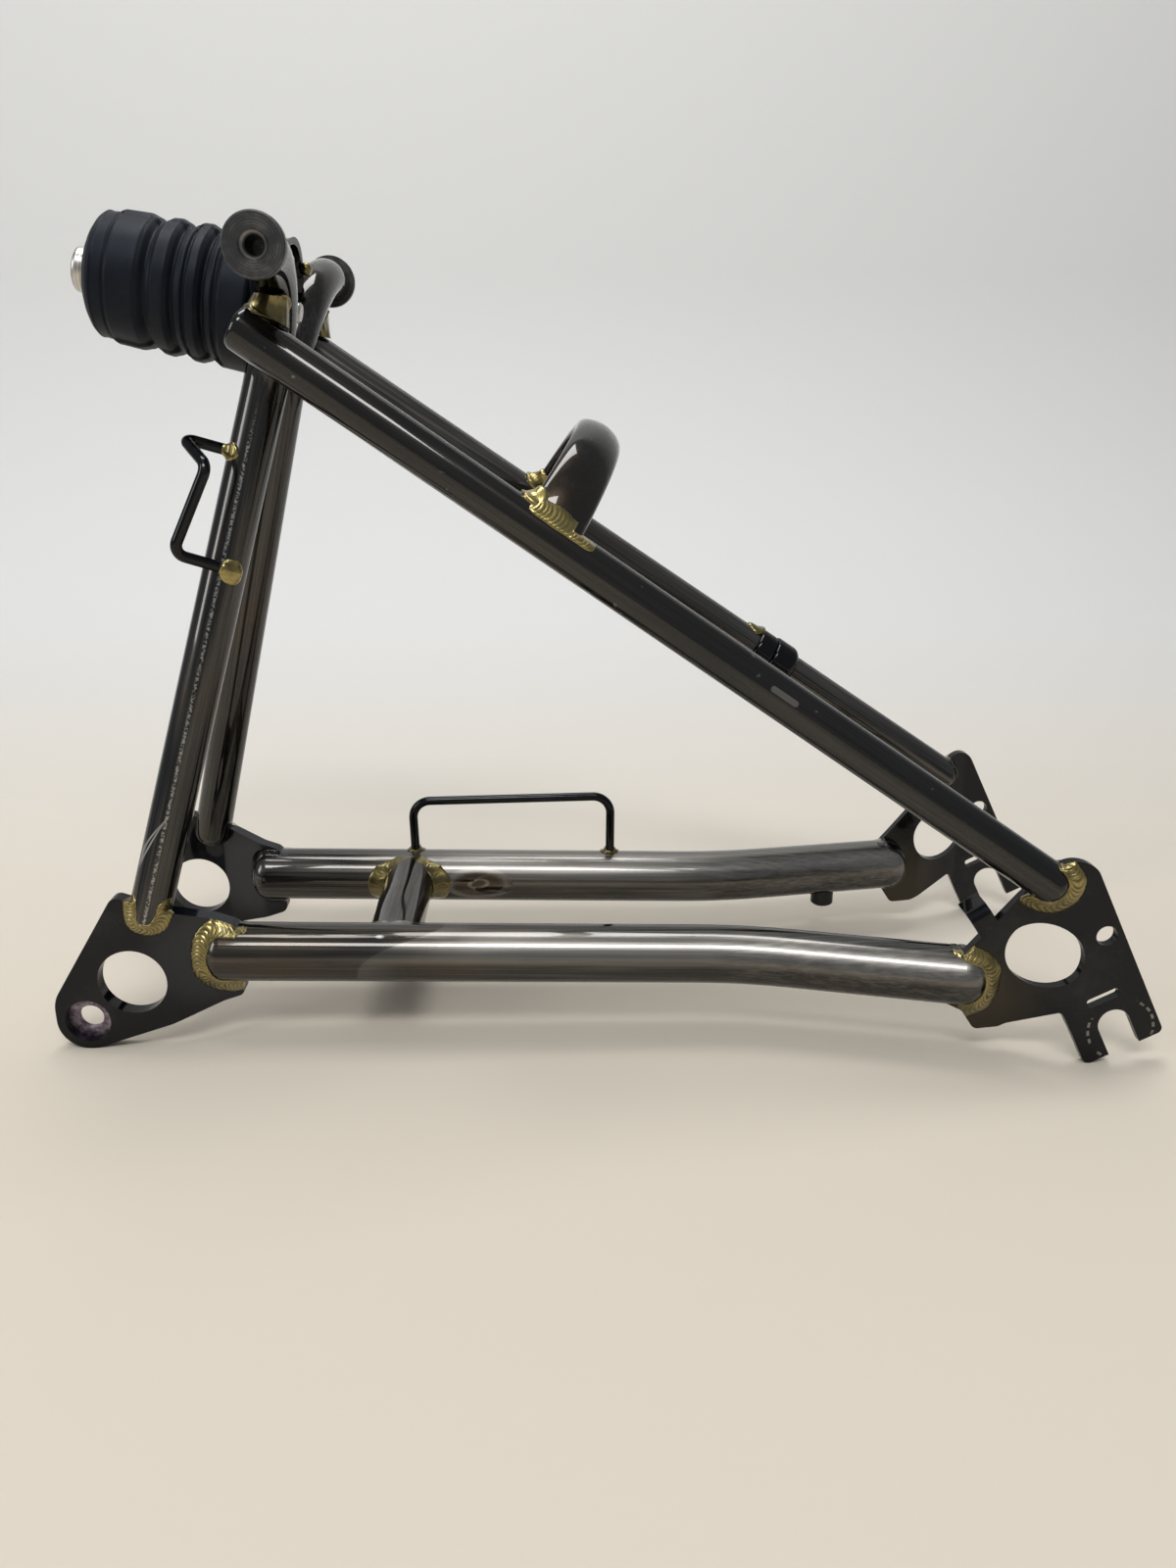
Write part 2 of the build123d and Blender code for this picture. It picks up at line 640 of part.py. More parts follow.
def dropout_seatstay_bead():
    """Brass round the seatstay's rear end on the axle plate."""
    end = seatstay_point(SEATSTAY_END[0])
    slope = (end - seatstay_point(SEATSTAY_TIP[0])).normalized()
    along = Vector(slope.X, slope.Z)
    out = Vector(-along.Y, along.X) * (SEATSTAY_D / 2)
    middle = Vector(end.X, end.Z)
    corners = [
        middle - along * 7.0 + out,
        middle + along * 3.6 + out,
        middle + along * 3.6 - out,
        middle - along * 7.0 - out,
    ]
    route = [(c.X, c.Y) for c in corners]
    return both_faces(route, end.Y - SEAT_BEAD_OUT, AXLE_PLATE_T, SMALL_BEAD_D, 5.0)


def crotch_bead_left():
    """Brass in the crotch between the seatstay's tip and the elbow."""
    x = UPRIGHT_TOP_X
    stay = seatstay_point(x)
    top = stay.Z + SEATSTAY_D / 2
    route = [(x - 8.0, stay.Y + 2.0, top + 5.5), (x - 2.0, stay.Y + 3.0, top + 1.8), (x + 5.0, stay.Y + 3.0, top - 1.0)]
    return weld(route, BEAD_D + 0.8, 4.0)


def dish_bead_left():
    """Brass between the cup and the left tube."""
    station = NOSE_PROUD + RUBBER_LENGTH + DISH_DEPTH
    centre = block_frame() * Pos(-DISH_RIM_R * 0.72, DISH_RIM_R * 0.62, station)
    return Pos(centre.position.X, centre.position.Y, centre.position.Z) * Sphere(BEAD_D / 2)


def arch_bead_left():
    """Brass along the arch's foot on the left seatstay."""
    frame = arch_frame()
    y = seatstay_point(ARCH_X).Y - 1.5
    up = SEATSTAY_D / 2 + 0.5
    ends = [frame * Pos(y, up, -3.0), frame * Pos(y, up, ARCH_WIDTH + 3.0)]
    return weld([end.position for end in ends], ARCH_BEAD_D)


def drop(point):
    """Drop of brass at a wire's foot."""
    return Pos(*point) * Sphere(BEAD_DROP_D / 2)


def wire_drops():
    """Drops of brass at the feet of both wires, by name."""
    upper, elbow, hook, turn, lower = loop_route()
    top = CHAINSTAY_D / 2
    front = (GUIDE_FRONT_X + 0.4, CHAINSTAY_Y - 0.8, chainstay_z(GUIDE_FRONT_X) + top)
    rear = (GUIDE_REAR_X, CHAINSTAY_Y - 0.8, chainstay_z(GUIDE_REAR_X) + top)
    return {
        "loop_upper": drop(upper + (elbow - upper).normalized() * 5.2),
        "loop_lower": drop(lower + (turn - lower).normalized() * 3.6),
        "guide_front": drop(front),
        "guide_rear": drop(rear),
    }


def stop_bead():
    """Brass at the front end of the cable stop, on top of the right seatstay."""
    point = seatstay_point(STOP_X - STOP_LENGTH * 0.46)
    return mirrored(Pos(point.X + 2.0, point.Y, point.Z + SEATSTAY_D / 2 - 0.5) * Sphere(BEAD_DROP_D / 2))


def write(name, solid):
    """Write one node, keeping only real solids."""
    solids = solid.solids() if hasattr(solid, "solids") else [solid]
    shape = solids[0] if len(solids) == 1 else Compound(children=list(solids))
    shape.label = name
    export_step(shape, f"parts/{name}.step")
    NODES[name] = shape


def cut(solid, *others):
    """The solid without the pieces that it is seated on."""
    for other in others:
        solid = solid - other
    return solid


NODES = {}
os.makedirs("parts", exist_ok=True)

plate = pivot_plate_left()
axle_plate = mirrored(dropout(horned=False))
axle_plate_horned = mirrored(dropout(horned=True))
upright = cut(upright_left(), plate)
seatstay = cut(seatstay_left(), axle_plate, upright)
chainstay = cut(chainstay_left(), plate, axle_plate)
dent = Pos(DENT_X, CHAINSTAY_Y - CHAINSTAY_D / 2 - 1.6, chainstay_z(DENT_X)) * scale(Sphere(1.0), by=DENT_SIZE)

write("pivot_plate_left", plate)
write("pivot_plate_right", mirrored(plate))
write("dropout_left", axle_plate_horned)
write("dropout_right", mirrored(axle_plate))
write("chainstay_left", chainstay)
write("chainstay_right", mirrored(chainstay) - dent)
write("upright_left", upright)
write("upright_right", mirrored(upright))
write("seatstay_left", seatstay)
write("seatstay_right", mirrored(seatstay))
write("roller_boss_left", roller_boss_left())
write("roller_boss_right", mirrored(roller_boss_left()))

dish = cut(block_dish(), upright, mirrored(upright))
stay_bridge = cut(bridge(), chainstay, mirrored(chainstay))
arch = cut(seatstay_arch(), seatstay, mirrored(seatstay))
write("block_dish", dish)
write("suspension_block", suspension_block())
write("nose_bolt", nose_bolt())
write("block_washer", block_washer())
write("block_nut", block_nut())
write("chainstay_bridge", stay_bridge)
write("seatstay_arch", arch)

guide = cut(guide_wire_right(), mirrored(chainstay))
loop = cut(cable_loop_left(), upright)
peg = cut(cable_peg_right(), mirrored(chainstay))
stop = cut(cable_stop_right(), mirrored(seatstay))
write("guide_wire_right", guide)
write("cable_loop_left", loop)
write("cable_peg_right", peg)
write("cable_stop_right", stop)

beads = {
    "pivot_chainstay": cut(pivot_chainstay_bead(), plate, chainstay),
    "pivot_upright": cut(pivot_upright_bead(), plate, upright),
    "axle_chainstay": cut(dropout_chainstay_bead(), axle_plate, chainstay),
    "axle_seatstay": cut(dropout_seatstay_bead(), axle_plate, seatstay),
    "elbow_seatstay": cut(crotch_bead_left(), seatstay, upright),
    "dish": cut(dish_bead_left(), upright, dish),
    "bridge": cut(bridge_bead_left(), chainstay, stay_bridge),
    "arch": cut(arch_bead_left(), seatstay, arch),
}
for name, bead in beads.items():
    write(f"braze_{name}_left", bead)
    write(f"braze_{name}_right", mirrored(bead))

drops = wire_drops()
write("braze_loop_upper", cut(drops["loop_upper"], upright, loop))
write("braze_loop_lower", cut(drops["loop_lower"], upright, loop))
write("braze_guide_front", cut(drops["guide_front"], mirrored(chainstay), guide))
write("braze_guide_rear", cut(drops["guide_rear"], mirrored(chainstay), guide))
write("braze_cable_stop", cut(stop_bead(), mirrored(seatstay), stop))
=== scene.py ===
import bmesh
import bpy
import math
from mathutils import Matrix, Vector, noise
from mathutils.bvhtree import BVHTree


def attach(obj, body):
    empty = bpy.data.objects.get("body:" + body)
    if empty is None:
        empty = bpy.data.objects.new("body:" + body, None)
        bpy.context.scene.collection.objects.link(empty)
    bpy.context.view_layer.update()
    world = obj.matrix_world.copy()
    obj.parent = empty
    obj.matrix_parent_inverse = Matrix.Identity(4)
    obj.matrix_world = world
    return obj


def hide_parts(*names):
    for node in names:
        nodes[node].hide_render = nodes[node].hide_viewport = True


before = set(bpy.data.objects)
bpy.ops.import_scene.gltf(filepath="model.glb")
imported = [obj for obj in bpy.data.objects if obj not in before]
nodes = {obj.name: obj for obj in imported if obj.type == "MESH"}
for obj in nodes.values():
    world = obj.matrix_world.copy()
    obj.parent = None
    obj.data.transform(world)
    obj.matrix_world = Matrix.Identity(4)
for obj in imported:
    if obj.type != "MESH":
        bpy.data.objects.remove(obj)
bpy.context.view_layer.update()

# Rear triangle of a folding bicycle: brazed steel tube and plate with a rubber block.
# The frame has its origin on the pivot axis, +X back to the wheel axle and +Z up, in metres.
# Sizes are written in millimetres, and each mesh is brought to metres when it is finished.
MM = 0.001


# Floor and backdrop
# One pale sheet that lies under the part and sweeps up behind it, as in a photo studio.
# It isn't part of the object.
FLOOR_Z = -10.0
FLOOR_HALF = 1500.0
FLOOR_MIDDLE = (150.0, -1000.0)
SWEEP_STEPS = 12
SWEEP_STEP = 40.0
FLOOR_NEAR = (0.62, 0.56, 0.47, 1.0)
FLOOR_FAR = (0.72, 0.72, 0.71, 1.0)


class Number:
    """A value that changes over a surface: one output socket, with Python's arithmetic."""

    def __init__(self, finish, socket):
        self.finish = finish
        self.socket = socket

    def math(self, operation, *others):
        return self.finish.node("ShaderNodeMath", {"operation": operation}, [self, *others])

    def __add__(self, other):
        return self.math("ADD", other)

    def __sub__(self, other):
        return self.math("SUBTRACT", other)

    def __rsub__(self, other):
        return self.finish.node("ShaderNodeMath", {"operation": "SUBTRACT"}, [other, self])

    def __mul__(self, other):
        return self.math("MULTIPLY", other)

    def __truediv__(self, other):
        return self.math("DIVIDE", other)

    def __pow__(self, other):
        return self.math("POWER", other)

    def __abs__(self):
        return self.math("ABSOLUTE")

    __radd__ = __add__
    __rmul__ = __mul__

    def ramp(self, low, high):
        """0 at low, 1 at high and smooth between, whichever of the two is larger."""
        settings = {"interpolation_type": "SMOOTHSTEP"}
        if low > high:
            return 1.0 - self.ramp(high, low)
        return self.finish.node("ShaderNodeMapRange", settings, [self, low, high, 0.0, 1.0])

    def part(self, name):
        """Another output of the same node."""
        return Number(self.finish, self.socket.node.outputs[name])


class Finish:
    """One procedural material: its principled shader and the nodes that feed it."""

    def __init__(self, name, **constants):
        self.material = bpy.data.materials.new(name)
        self.material.use_nodes = True
        self.tree = self.material.node_tree
        self.shader = self.tree.nodes["Principled BSDF"]
        for key, value in constants.items():
            self.shader.inputs[key.replace("_", " ")].default_value = value
        self.place = self.node("ShaderNodeTexCoord", {}, []).part("Object")

    def node(self, kind, settings, values):
        """Any node, from its type, its settings, and its sockets' values or links."""
        made = self.tree.nodes.new(kind)
        for key, value in settings.items():
            setattr(made, key, value)
        pairs = values.items() if isinstance(values, dict) else enumerate(values)
        for key, value in pairs:
            if isinstance(value, Number):
                self.tree.links.new(value.socket, made.inputs[key])
            else:
                made.inputs[key].default_value = value
        return Number(self, next(o for o in made.outputs if o.enabled))

    def feed(self, **links):
        """Joins numbers, colours and normals to the principled shader's inputs."""
        for key, value in links.items():
            self.tree.links.new(value.socket, self.shader.inputs[key.replace("_", " ")])

    def local(self, origin, direction, up=(0.0, 0.0, 1.0)):
        """Millimetres about a point: local X along direction, local Z nearest to up."""
        x = Vector(direction).normalized()
        y = Vector(up).cross(x).normalized()
        turn = Matrix((x, y, x.cross(y))).transposed().to_euler()
        values = {"Vector": self.place, "Location": Vector(origin) * MM}
        values.update(Rotation=turn, Scale=(MM, MM, MM))
        return self.node("ShaderNodeMapping", {"vector_type": "TEXTURE"}, values)

    def stretched(self, vector, scale):
        return self.node("ShaderNodeVectorMath", {"operation": "MULTIPLY"}, [vector, scale])

    def axes(self, vector):
        """The three parts of a vector as numbers."""
        split = self.node("ShaderNodeSeparateXYZ", {}, [vector])
        return split.part("X"), split.part("Y"), split.part("Z")

    def noise(self, vector, scale, detail=2.0, roughness=0.5):
        values = {"Vector": vector, "Scale": scale, "Detail": detail, "Roughness": roughness}
        return self.node("ShaderNodeTexNoise", {}, values)

    def blend(self, share, first, second):
        """A colour from first to second as share goes from 0 to 1."""
        made = self.node("ShaderNodeMix", {"data_type": "RGBA"}, {0: share, 6: first, 7: second})
        return Number(self, made.socket.node.outputs[2])

    def bump(self, height, distance, strength=1.0):
        values = {"Height": height, "Distance": distance, "Strength": strength}
        return self.node("ShaderNodeBump", {}, values)


def new_piece(name, bm, finish):
    """Makes the finished bmesh, drawn in millimetres, a smooth object at the origin."""
    bmesh.ops.scale(bm, verts=bm.verts, vec=(MM, MM, MM))
    for face in bm.faces:
        face.smooth = True
    mesh = bpy.data.meshes.new(name)
    bm.to_mesh(mesh)
    bm.free()
    piece = bpy.data.objects.new(name, mesh)
    bpy.context.scene.collection.objects.link(piece)
    mesh.materials.append(finish.material)
    return piece


def extrude_row(bm, edges):
    """Grows a row of edges and returns the new row's edges and vertices."""
    grown = bmesh.ops.extrude_edge_only(bm, edges=edges)["geom"]
    verts = {part for part in grown if isinstance(part, bmesh.types.BMVert)}
    row = [p for p in grown if isinstance(p, bmesh.types.BMEdge) and set(p.verts) <= verts]
    return row, list(verts)


paper = Finish("floor_paper", Roughness=0.95)
far_share = paper.axes(paper.place)[1].ramp(-0.1, 0.75)
paper.feed(Base_Color=paper.blend(far_share, FLOOR_NEAR, FLOOR_FAR))
bm = bmesh.new()
bmesh.ops.create_grid(bm, x_segments=1, y_segments=1, size=FLOOR_HALF)
bmesh.ops.translate(bm, verts=bm.verts, vec=(*FLOOR_MIDDLE, FLOOR_Z))
row = [max(bm.edges, key=lambda e: sum(v.co.y for v in e.verts))]
for step in range(SWEEP_STEPS):
    angle = math.radians(90.0 * (step + 0.5) / SWEEP_STEPS)
    rise = Vector((0.0, math.cos(angle), math.sin(angle))) * SWEEP_STEP
    row, verts = extrude_row(bm, row)
    bmesh.ops.translate(bm, verts=verts, vec=rise)
row, verts = extrude_row(bm, row)
bmesh.ops.translate(bm, verts=verts, vec=(0.0, 0.0, FLOOR_HALF))
new_piece("floor", bm, paper)


# Tubes
# Drawn steel tube, rubbed down lengthwise and sprayed with a smoky clear lacquer.
# The rubbing leaves fine streaks, and the lacquer is browner where it ran thick.
TUBE_DARK = (0.009, 0.0088, 0.0085, 1.0)
TUBE_GREY = (0.075, 0.070, 0.062, 1.0)
TUBE_BARE_AND_HIGHLIGHT = (0.36, 0.34, 0.31, 1.0)
TUBE_BROWN = (0.055, 0.034, 0.014, 1.0)
SCRATCH = (0.45, 0.44, 0.42, 1.0)
CHAINSTAY_FRONT = Vector((38.0, -35.0, 20.3))
CHAINSTAY_AXIS = Vector((1.0, 0.0, -0.0199)).normalized()
UPRIGHT_FOOT = Vector((21.3, -37.5, 31.5))
UPRIGHT_AXIS = Vector((0.2687, 0.1452, 0.9522))
UPRIGHT_STRAIGHT = 7.5
SEATSTAY_TIP = Vector((64.5, -32.5, 210.7))
SEATSTAY_AXIS = Vector((242.5, -21.0, -163.0)).normalized()
NICK_AT = (94.9, -38.4, 28.1)
DENT_AT = (122.6, 27.0, 18.6)
DENT_LONG, DENT_HIGH = 11.0, 5.6
OVAL_AT = (218.4, -52.1, 109.2)


def fitted(node, finish):
    """Gives a node that is kept as it was packed its finish."""
    mesh = nodes[node].data
    mesh.materials.clear()
    mesh.materials.append(finish.material)


def mirrored(vector):
    """The same place or direction on the far side of the bicycle."""
    return Vector((vector.x, -vector.y, vector.z))


class TubeFinish(Finish):
    """Streaked steel of one tube, whose marks are added before its colour is joined.

    The streaks fade further than straight mm from the axis, where the tube bends away from it.
    """

    def __init__(self, name, origin, axis, grey=1.0, straight=60.0, brown=0.45):
        super().__init__(name, Metallic=1.0, Coat_Weight=1.0, Coat_Roughness=0.05)
        self.shader.inputs["Specular Tint"].default_value = (0.35, 0.35, 0.36, 1.0)
        lengthwise = self.local(origin, axis)
        self.along, self.across, self.over = self.axes(lengthwise)
        fine = self.noise(self.stretched(lengthwise, (0.012, 1.4, 1.4)), 1.0, 3.0, 0.6)
        broad = self.noise(self.stretched(lengthwise, (0.02, 0.22, 0.22)), 1.0, 2.0)
        cloud = self.noise(self.place, 22.0, 3.0)
        from_axis = (self.across * self.across + self.over * self.over) ** 0.5
        drawn = from_axis.ramp(straight + 2.0, straight)
        streaks = (fine * 0.6 + broad * 0.4).ramp(0.40, 0.66) * grey * (drawn * 0.7 + 0.3)
        self.color = self.blend(streaks, TUBE_DARK, TUBE_GREY)
        self.color = self.blend(cloud.ramp(0.45, 0.75) * brown, self.color, TUBE_BROWN)
        self.rough = 0.17 + broad * 0.16 + fine * 0.08
        self.relief = fine * drawn
        self.speckle = self.noise(self.place, 1400.0, 2.0)

    def mark(self, share, color, rough=None):
        """Covers the share of the surface with another colour."""
        self.color = self.blend(share, self.color, color)
        if rough is not None:
            self.rough = self.rough + share * (rough - 0.25)

    def done(self):
        relief = self.bump(self.relief, 0.00003, 0.5)
        self.feed(Base_Color=self.color, Roughness=self.rough, Normal=relief)
        return self


# Near chainstay: the lacquer thins behind a curved line and the steel shows through, and along
# the upper part of the tube that lighter steel is a painted highlight band.
near_chainstay = TubeFinish("chainstay_steel_left", CHAINSTAY_FRONT, CHAINSTAY_AXIS)
wander = near_chainstay.noise(near_chainstay.place, 60.0, 2.0) * 14.0
leaning = ((near_chainstay.over + 6.0).math("MAXIMUM", 0.0) ** 3.0) * 0.0072
past = near_chainstay.along - leaning - 49.5
# Painted highlight: only a band along the upper part of the tube is brightened.
highlight_top = near_chainstay.over.ramp(-1.0, 3.5) * near_chainstay.over.ramp(9.6, 7.4)
bare_and_highlight = (past + wander).ramp(2.0, 40.0) * highlight_top * (near_chainstay.relief * 0.6 + 0.25)
near_chainstay.mark(bare_and_highlight, TUBE_BARE_AND_HIGHLIGHT, 0.34)
near_chainstay.mark(past.ramp(-0.4, 0.6) * past.ramp(16.0, 1.0) * 0.14, TUBE_BARE_AND_HIGHLIGHT)
nick_x, nick_y, nick_z = near_chainstay.axes(near_chainstay.local(NICK_AT, CHAINSTAY_AXIS))
nick = (nick_x * nick_x * 0.3 + nick_y * nick_y + nick_z * nick_z).ramp(2.2, 0.8)
near_chainstay.mark(nick, SCRATCH)
fitted("chainstay_left", near_chainstay.done())

# Far chainstay: a painted highlight along its top, and the dent for the tyre darker brown
# inside, with pale painted reflection rings at its rim and round its middle.
far_chainstay = TubeFinish("chainstay_steel_right", mirrored(CHAINSTAY_FRONT), CHAINSTAY_AXIS)
# Painted highlight along the top of the tube.
highlight_top = far_chainstay.over.ramp(-3.0, 4.0) * far_chainstay.along.ramp(30.0, 90.0)
far_chainstay.mark(highlight_top * (far_chainstay.relief * 0.5 + 0.25), TUBE_BARE_AND_HIGHLIGHT, 0.34)
dent_x, dent_y, dent_z = far_chainstay.axes(far_chainstay.local(DENT_AT, CHAINSTAY_AXIS))
dent = ((dent_x / DENT_LONG) ** 2.0 + (dent_z / DENT_HIGH) ** 2.0) ** 0.5
inner_side = dent_y.ramp(6.0, 3.0)
# Painted reflections: pale rings at the dent's rim and round its middle.
far_chainstay.mark(abs(dent - 1.0).ramp(0.22, 0.05) * inner_side * 0.35, TUBE_BARE_AND_HIGHLIGHT)
far_chainstay.mark(dent.ramp(0.95, 0.6) * inner_side * 0.9, TUBE_BROWN, 0.12)
far_chainstay.mark(abs(dent - 0.3).ramp(0.10, 0.03) * inner_side * 0.5, TUBE_BARE_AND_HIGHLIGHT)
fitted("chainstay_right", far_chainstay.done())

# Uprights: a fine rubbed line runs down the near one, with a pale scuff above its foot.
# The scuff is two thin lines that part in the middle of a curve.
near_upright = TubeFinish(
    "upright_steel_left", UPRIGHT_FOOT, UPRIGHT_AXIS, grey=0.8, straight=UPRIGHT_STRAIGHT,
)
front = near_upright.across.ramp(0.0, -1.5)
line = abs(near_upright.over - 2.7).ramp(0.7, 0.1) * near_upright.speckle.ramp(0.40, 0.60)
near_upright.mark(line * front * near_upright.along.ramp(168.0, 150.0) * 0.85, SCRATCH, 0.4)
climbed = (near_upright.along - 20.0).math("MAXIMUM", 0.0) / 18.4
curve = near_upright.over - 6.4 + climbed ** 2.2 * 4.1
gap = near_upright.along.ramp(20.0, 29.0) * near_upright.along.ramp(39.0, 30.0) * 0.35
scuff = abs(abs(curve) - gap).ramp(0.26, 0.08) * near_upright.along.ramp(19.0, 23.0)
near_upright.mark(scuff * front * near_upright.along.ramp(39.5, 38.0) * 0.75, SCRATCH, 0.5)
fitted("upright_left", near_upright.done())
far_upright = TubeFinish(
    "upright_steel_right", mirrored(UPRIGHT_FOOT), mirrored(UPRIGHT_AXIS), grey=0.6,
    straight=UPRIGHT_STRAIGHT,
)
fitted("upright_right", far_upright.done())

# Seatstays: the near one is painted darkest, with few streaks and little brown, as painted
# shade, and keeps a small oval mark with a pale rim.
near_seatstay = TubeFinish(
    "seatstay_steel_left", SEATSTAY_TIP, SEATSTAY_AXIS, grey=0.25, brown=0.12,
)
oval_frame = near_seatstay.local(OVAL_AT, SEATSTAY_AXIS, (0.0, -1.0, 0.0))
oval_x, oval_y, oval_z = near_seatstay.axes(oval_frame)
oval = ((abs(oval_x) - 3.9).math("MAXIMUM", 0.0) ** 2.0 + oval_y * oval_y) ** 0.5
near_seatstay.mark(oval.ramp(1.05, 0.75) * abs(oval_z).ramp(3.0, 2.0) * 0.45, TUBE_BARE_AND_HIGHLIGHT, 0.5)
flecks = near_seatstay.noise(near_seatstay.place, 240.0, 1.0).ramp(0.75, 0.79)
near_seatstay.mark(flecks * 0.3, SCRATCH)
fitted("seatstay_left", near_seatstay.done())
far_seatstay = TubeFinish(
    "seatstay_steel_right", mirrored(SEATSTAY_TIP), mirrored(SEATSTAY_AXIS), grey=1.3,
)
# Painted highlight along the top of the far seatstay.
far_seatstay.mark(far_seatstay.over.ramp(1.0, 5.0) * 0.12, TUBE_BARE_AND_HIGHLIGHT, 0.34)
fitted("seatstay_right", far_seatstay.done())


# Chainstay bridge
# Short tube between the chainstays, a little uneven from the heat of brazing.
BRIDGE_AT = Vector((97.0, 0.0, 18.8))
BRIDGE_HALF = 31.0
BRIDGE_R = 8.9
BRIDGE_RINGS = 60
BRIDGE_SIDES = 96
BRIDGE_UNEVEN = 0.02
BRIDGE_FLARE = 0.03
bridge_steel = TubeFinish("bridge_steel", BRIDGE_AT, (0.0, 1.0, 0.0), grey=1.5).done()
bm = bmesh.new()
ring = bmesh.ops.create_circle(bm, cap_ends=True, radius=1.0, segments=BRIDGE_SIDES)["verts"]
bmesh.ops.rotate(bm, verts=ring, matrix=Matrix.Rotation(math.pi / 2.0, 3, "X"))
row = list(bm.edges)
bmesh.ops.translate(bm, verts=ring, vec=(0.0, -BRIDGE_HALF, 0.0))
for step in range(BRIDGE_RINGS):
    row, verts = extrude_row(bm, row)
    bmesh.ops.translate(bm, verts=verts, vec=(0.0, 2.0 * BRIDGE_HALF / BRIDGE_RINGS, 0.0))
bmesh.ops.contextual_create(bm, geom=row)
for vert in bm.verts:
    lengthwise = Vector((vert.co.x * 1.6, vert.co.y * 0.05, vert.co.z * 1.6))
    uneven = 1.0 + BRIDGE_UNEVEN * noise.noise(lengthwise)
    flared = 1.0 + BRIDGE_FLARE * (abs(vert.co.y) / BRIDGE_HALF) ** 6
    radius = BRIDGE_R * uneven * flared
    vert.co = BRIDGE_AT + Vector((vert.co.x * radius, vert.co.y, vert.co.z * radius))
bmesh.ops.recalc_face_normals(bm, faces=bm.faces)
bridge = new_piece("bridge_tube", bm, bridge_steel)
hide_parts("chainstay_bridge")
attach(bridge, "root")


# Pivot and axle plates
# Steel plate cut to shape, cranked in a press and lacquered near black.
# The pivot seats are bare and stained, and the tines keep the prints of toothed washers.
PLATE_BLACK = (0.004, 0.0045, 0.006, 1.0)
PLATE_GREY = (0.016, 0.017, 0.019, 1.0)
PLATE_BLUED = (0.030, 0.034, 0.042, 1.0)
PLATE_REFLECTED_BROWN = (0.040, 0.031, 0.018, 1.0)
SEAT_STEEL = (0.30, 0.27, 0.30, 1.0)
SEAT_STAIN = (0.12, 0.08, 0.13, 1.0)
SEAT_R = 7.2
PLATE_FACE = 40.75
WASHER_MIDDLE = (329.3, -59.0, 2.2)
WASHER_PRINT_R = 10.4
WASHER_TEETH = 22.0


def plate_lacquer(name):
    finish = Finish(name, Metallic=1.0, Coat_Weight=0.55, Coat_Roughness=0.04)
    finish.shader.inputs["Specular Tint"].default_value = (0.4, 0.4, 0.42, 1.0)
    cloud = finish.noise(finish.place, 45.0, 4.0, 0.6)
    grain = finish.noise(finish.place, 400.0, 3.0)
    finish.color = finish.blend(cloud.ramp(0.45, 0.75), PLATE_BLACK, PLATE_GREY)
    finish.rough = 0.22 + grain * 0.2
    finish.feed(Normal=finish.bump(cloud, 0.0004, 0.2))
    return finish


def around(finish, centre):
    """Distance from the axis across the bicycle through centre, and the place from centre."""
    x, y, z = finish.axes(finish.local(centre, (1.0, 0.0, 0.0)))
    return (x * x + z * z) ** 0.5, x, y, z


plate_paint = plate_lacquer("pivot_plate_lacquer")
from_pivot, x, y, z = around(plate_paint, (0.0, 0.0, 0.0))
stain = plate_paint.noise(plate_paint.place, 420.0, 4.0, 0.7)
seat_color = plate_paint.blend(stain.ramp(0.40, 0.62), SEAT_STAIN, SEAT_STEEL)
seat = from_pivot.ramp(SEAT_R + 0.1, SEAT_R - 0.1)
seat = seat * abs(y).ramp(PLATE_FACE + 0.15, PLATE_FACE - 0.15)
heat_tint_and_reflection = around(plate_paint, (40.0, 0.0, 21.0))[0].ramp(24.0, 9.0)
plate_paint.color = plate_paint.blend(heat_tint_and_reflection * 0.8, plate_paint.color, PLATE_BLUED)
plate_paint.feed(
    Base_Color=plate_paint.blend(seat, plate_paint.color, seat_color),
    Roughness=plate_paint.rough + seat * 0.15,
)
for node in ("pivot_plate_left", "pivot_plate_right"):
    fitted(node, plate_paint)

axle_paint = plate_lacquer("axle_plate_lacquer")
radius, x, y, z = around(axle_paint, WASHER_MIDDLE)
turn = z.math("ARCTAN2", x)
# Painted reflection: the dropouts turn brown round the rear end of the chainstay.
heat_tint_and_reflection = around(axle_paint, (284.0, 0.0, 6.0))[0].ramp(26.0, 8.0)
axle_paint.color = axle_paint.blend(heat_tint_and_reflection * 0.8, axle_paint.color, PLATE_REFLECTED_BROWN)
tooth = abs((turn * (WASHER_TEETH / math.tau)).math("FRACT") - 0.5).ramp(0.34, 0.24)
waver = (axle_paint.noise(axle_paint.place, 300.0, 1.0) - 0.5) * 0.8
band = abs(radius - WASHER_PRINT_R + waver)
grip = axle_paint.noise(axle_paint.place, 170.0, 1.0).ramp(0.36, 0.52)
beside_slit = 1.0 - turn.ramp(1.25, 1.4) * turn.ramp(2.85, 2.7)
prints = band.ramp(0.55, 0.3) * tooth * grip * beside_slit * abs(y).ramp(0.4, 0.2)
axle_paint.feed(
    Base_Color=axle_paint.blend(prints * 0.5, axle_paint.color, SCRATCH),
    Roughness=axle_paint.rough + prints * 0.15,
)
for node in ("dropout_left", "dropout_right"):
    fitted(node, axle_paint)


# Cup and the small brazed-on pieces
# Pressed sheet, bent wire and turned steel under the same dark lacquer.
dark_paint = plate_lacquer("small_part_lacquer")
dark_paint.feed(Base_Color=dark_paint.color, Roughness=dark_paint.rough)
for node in (
    "block_dish", "guide_wire_right", "cable_loop_left", "cable_peg_right", "cable_stop_right",
):
    fitted(node, dark_paint)


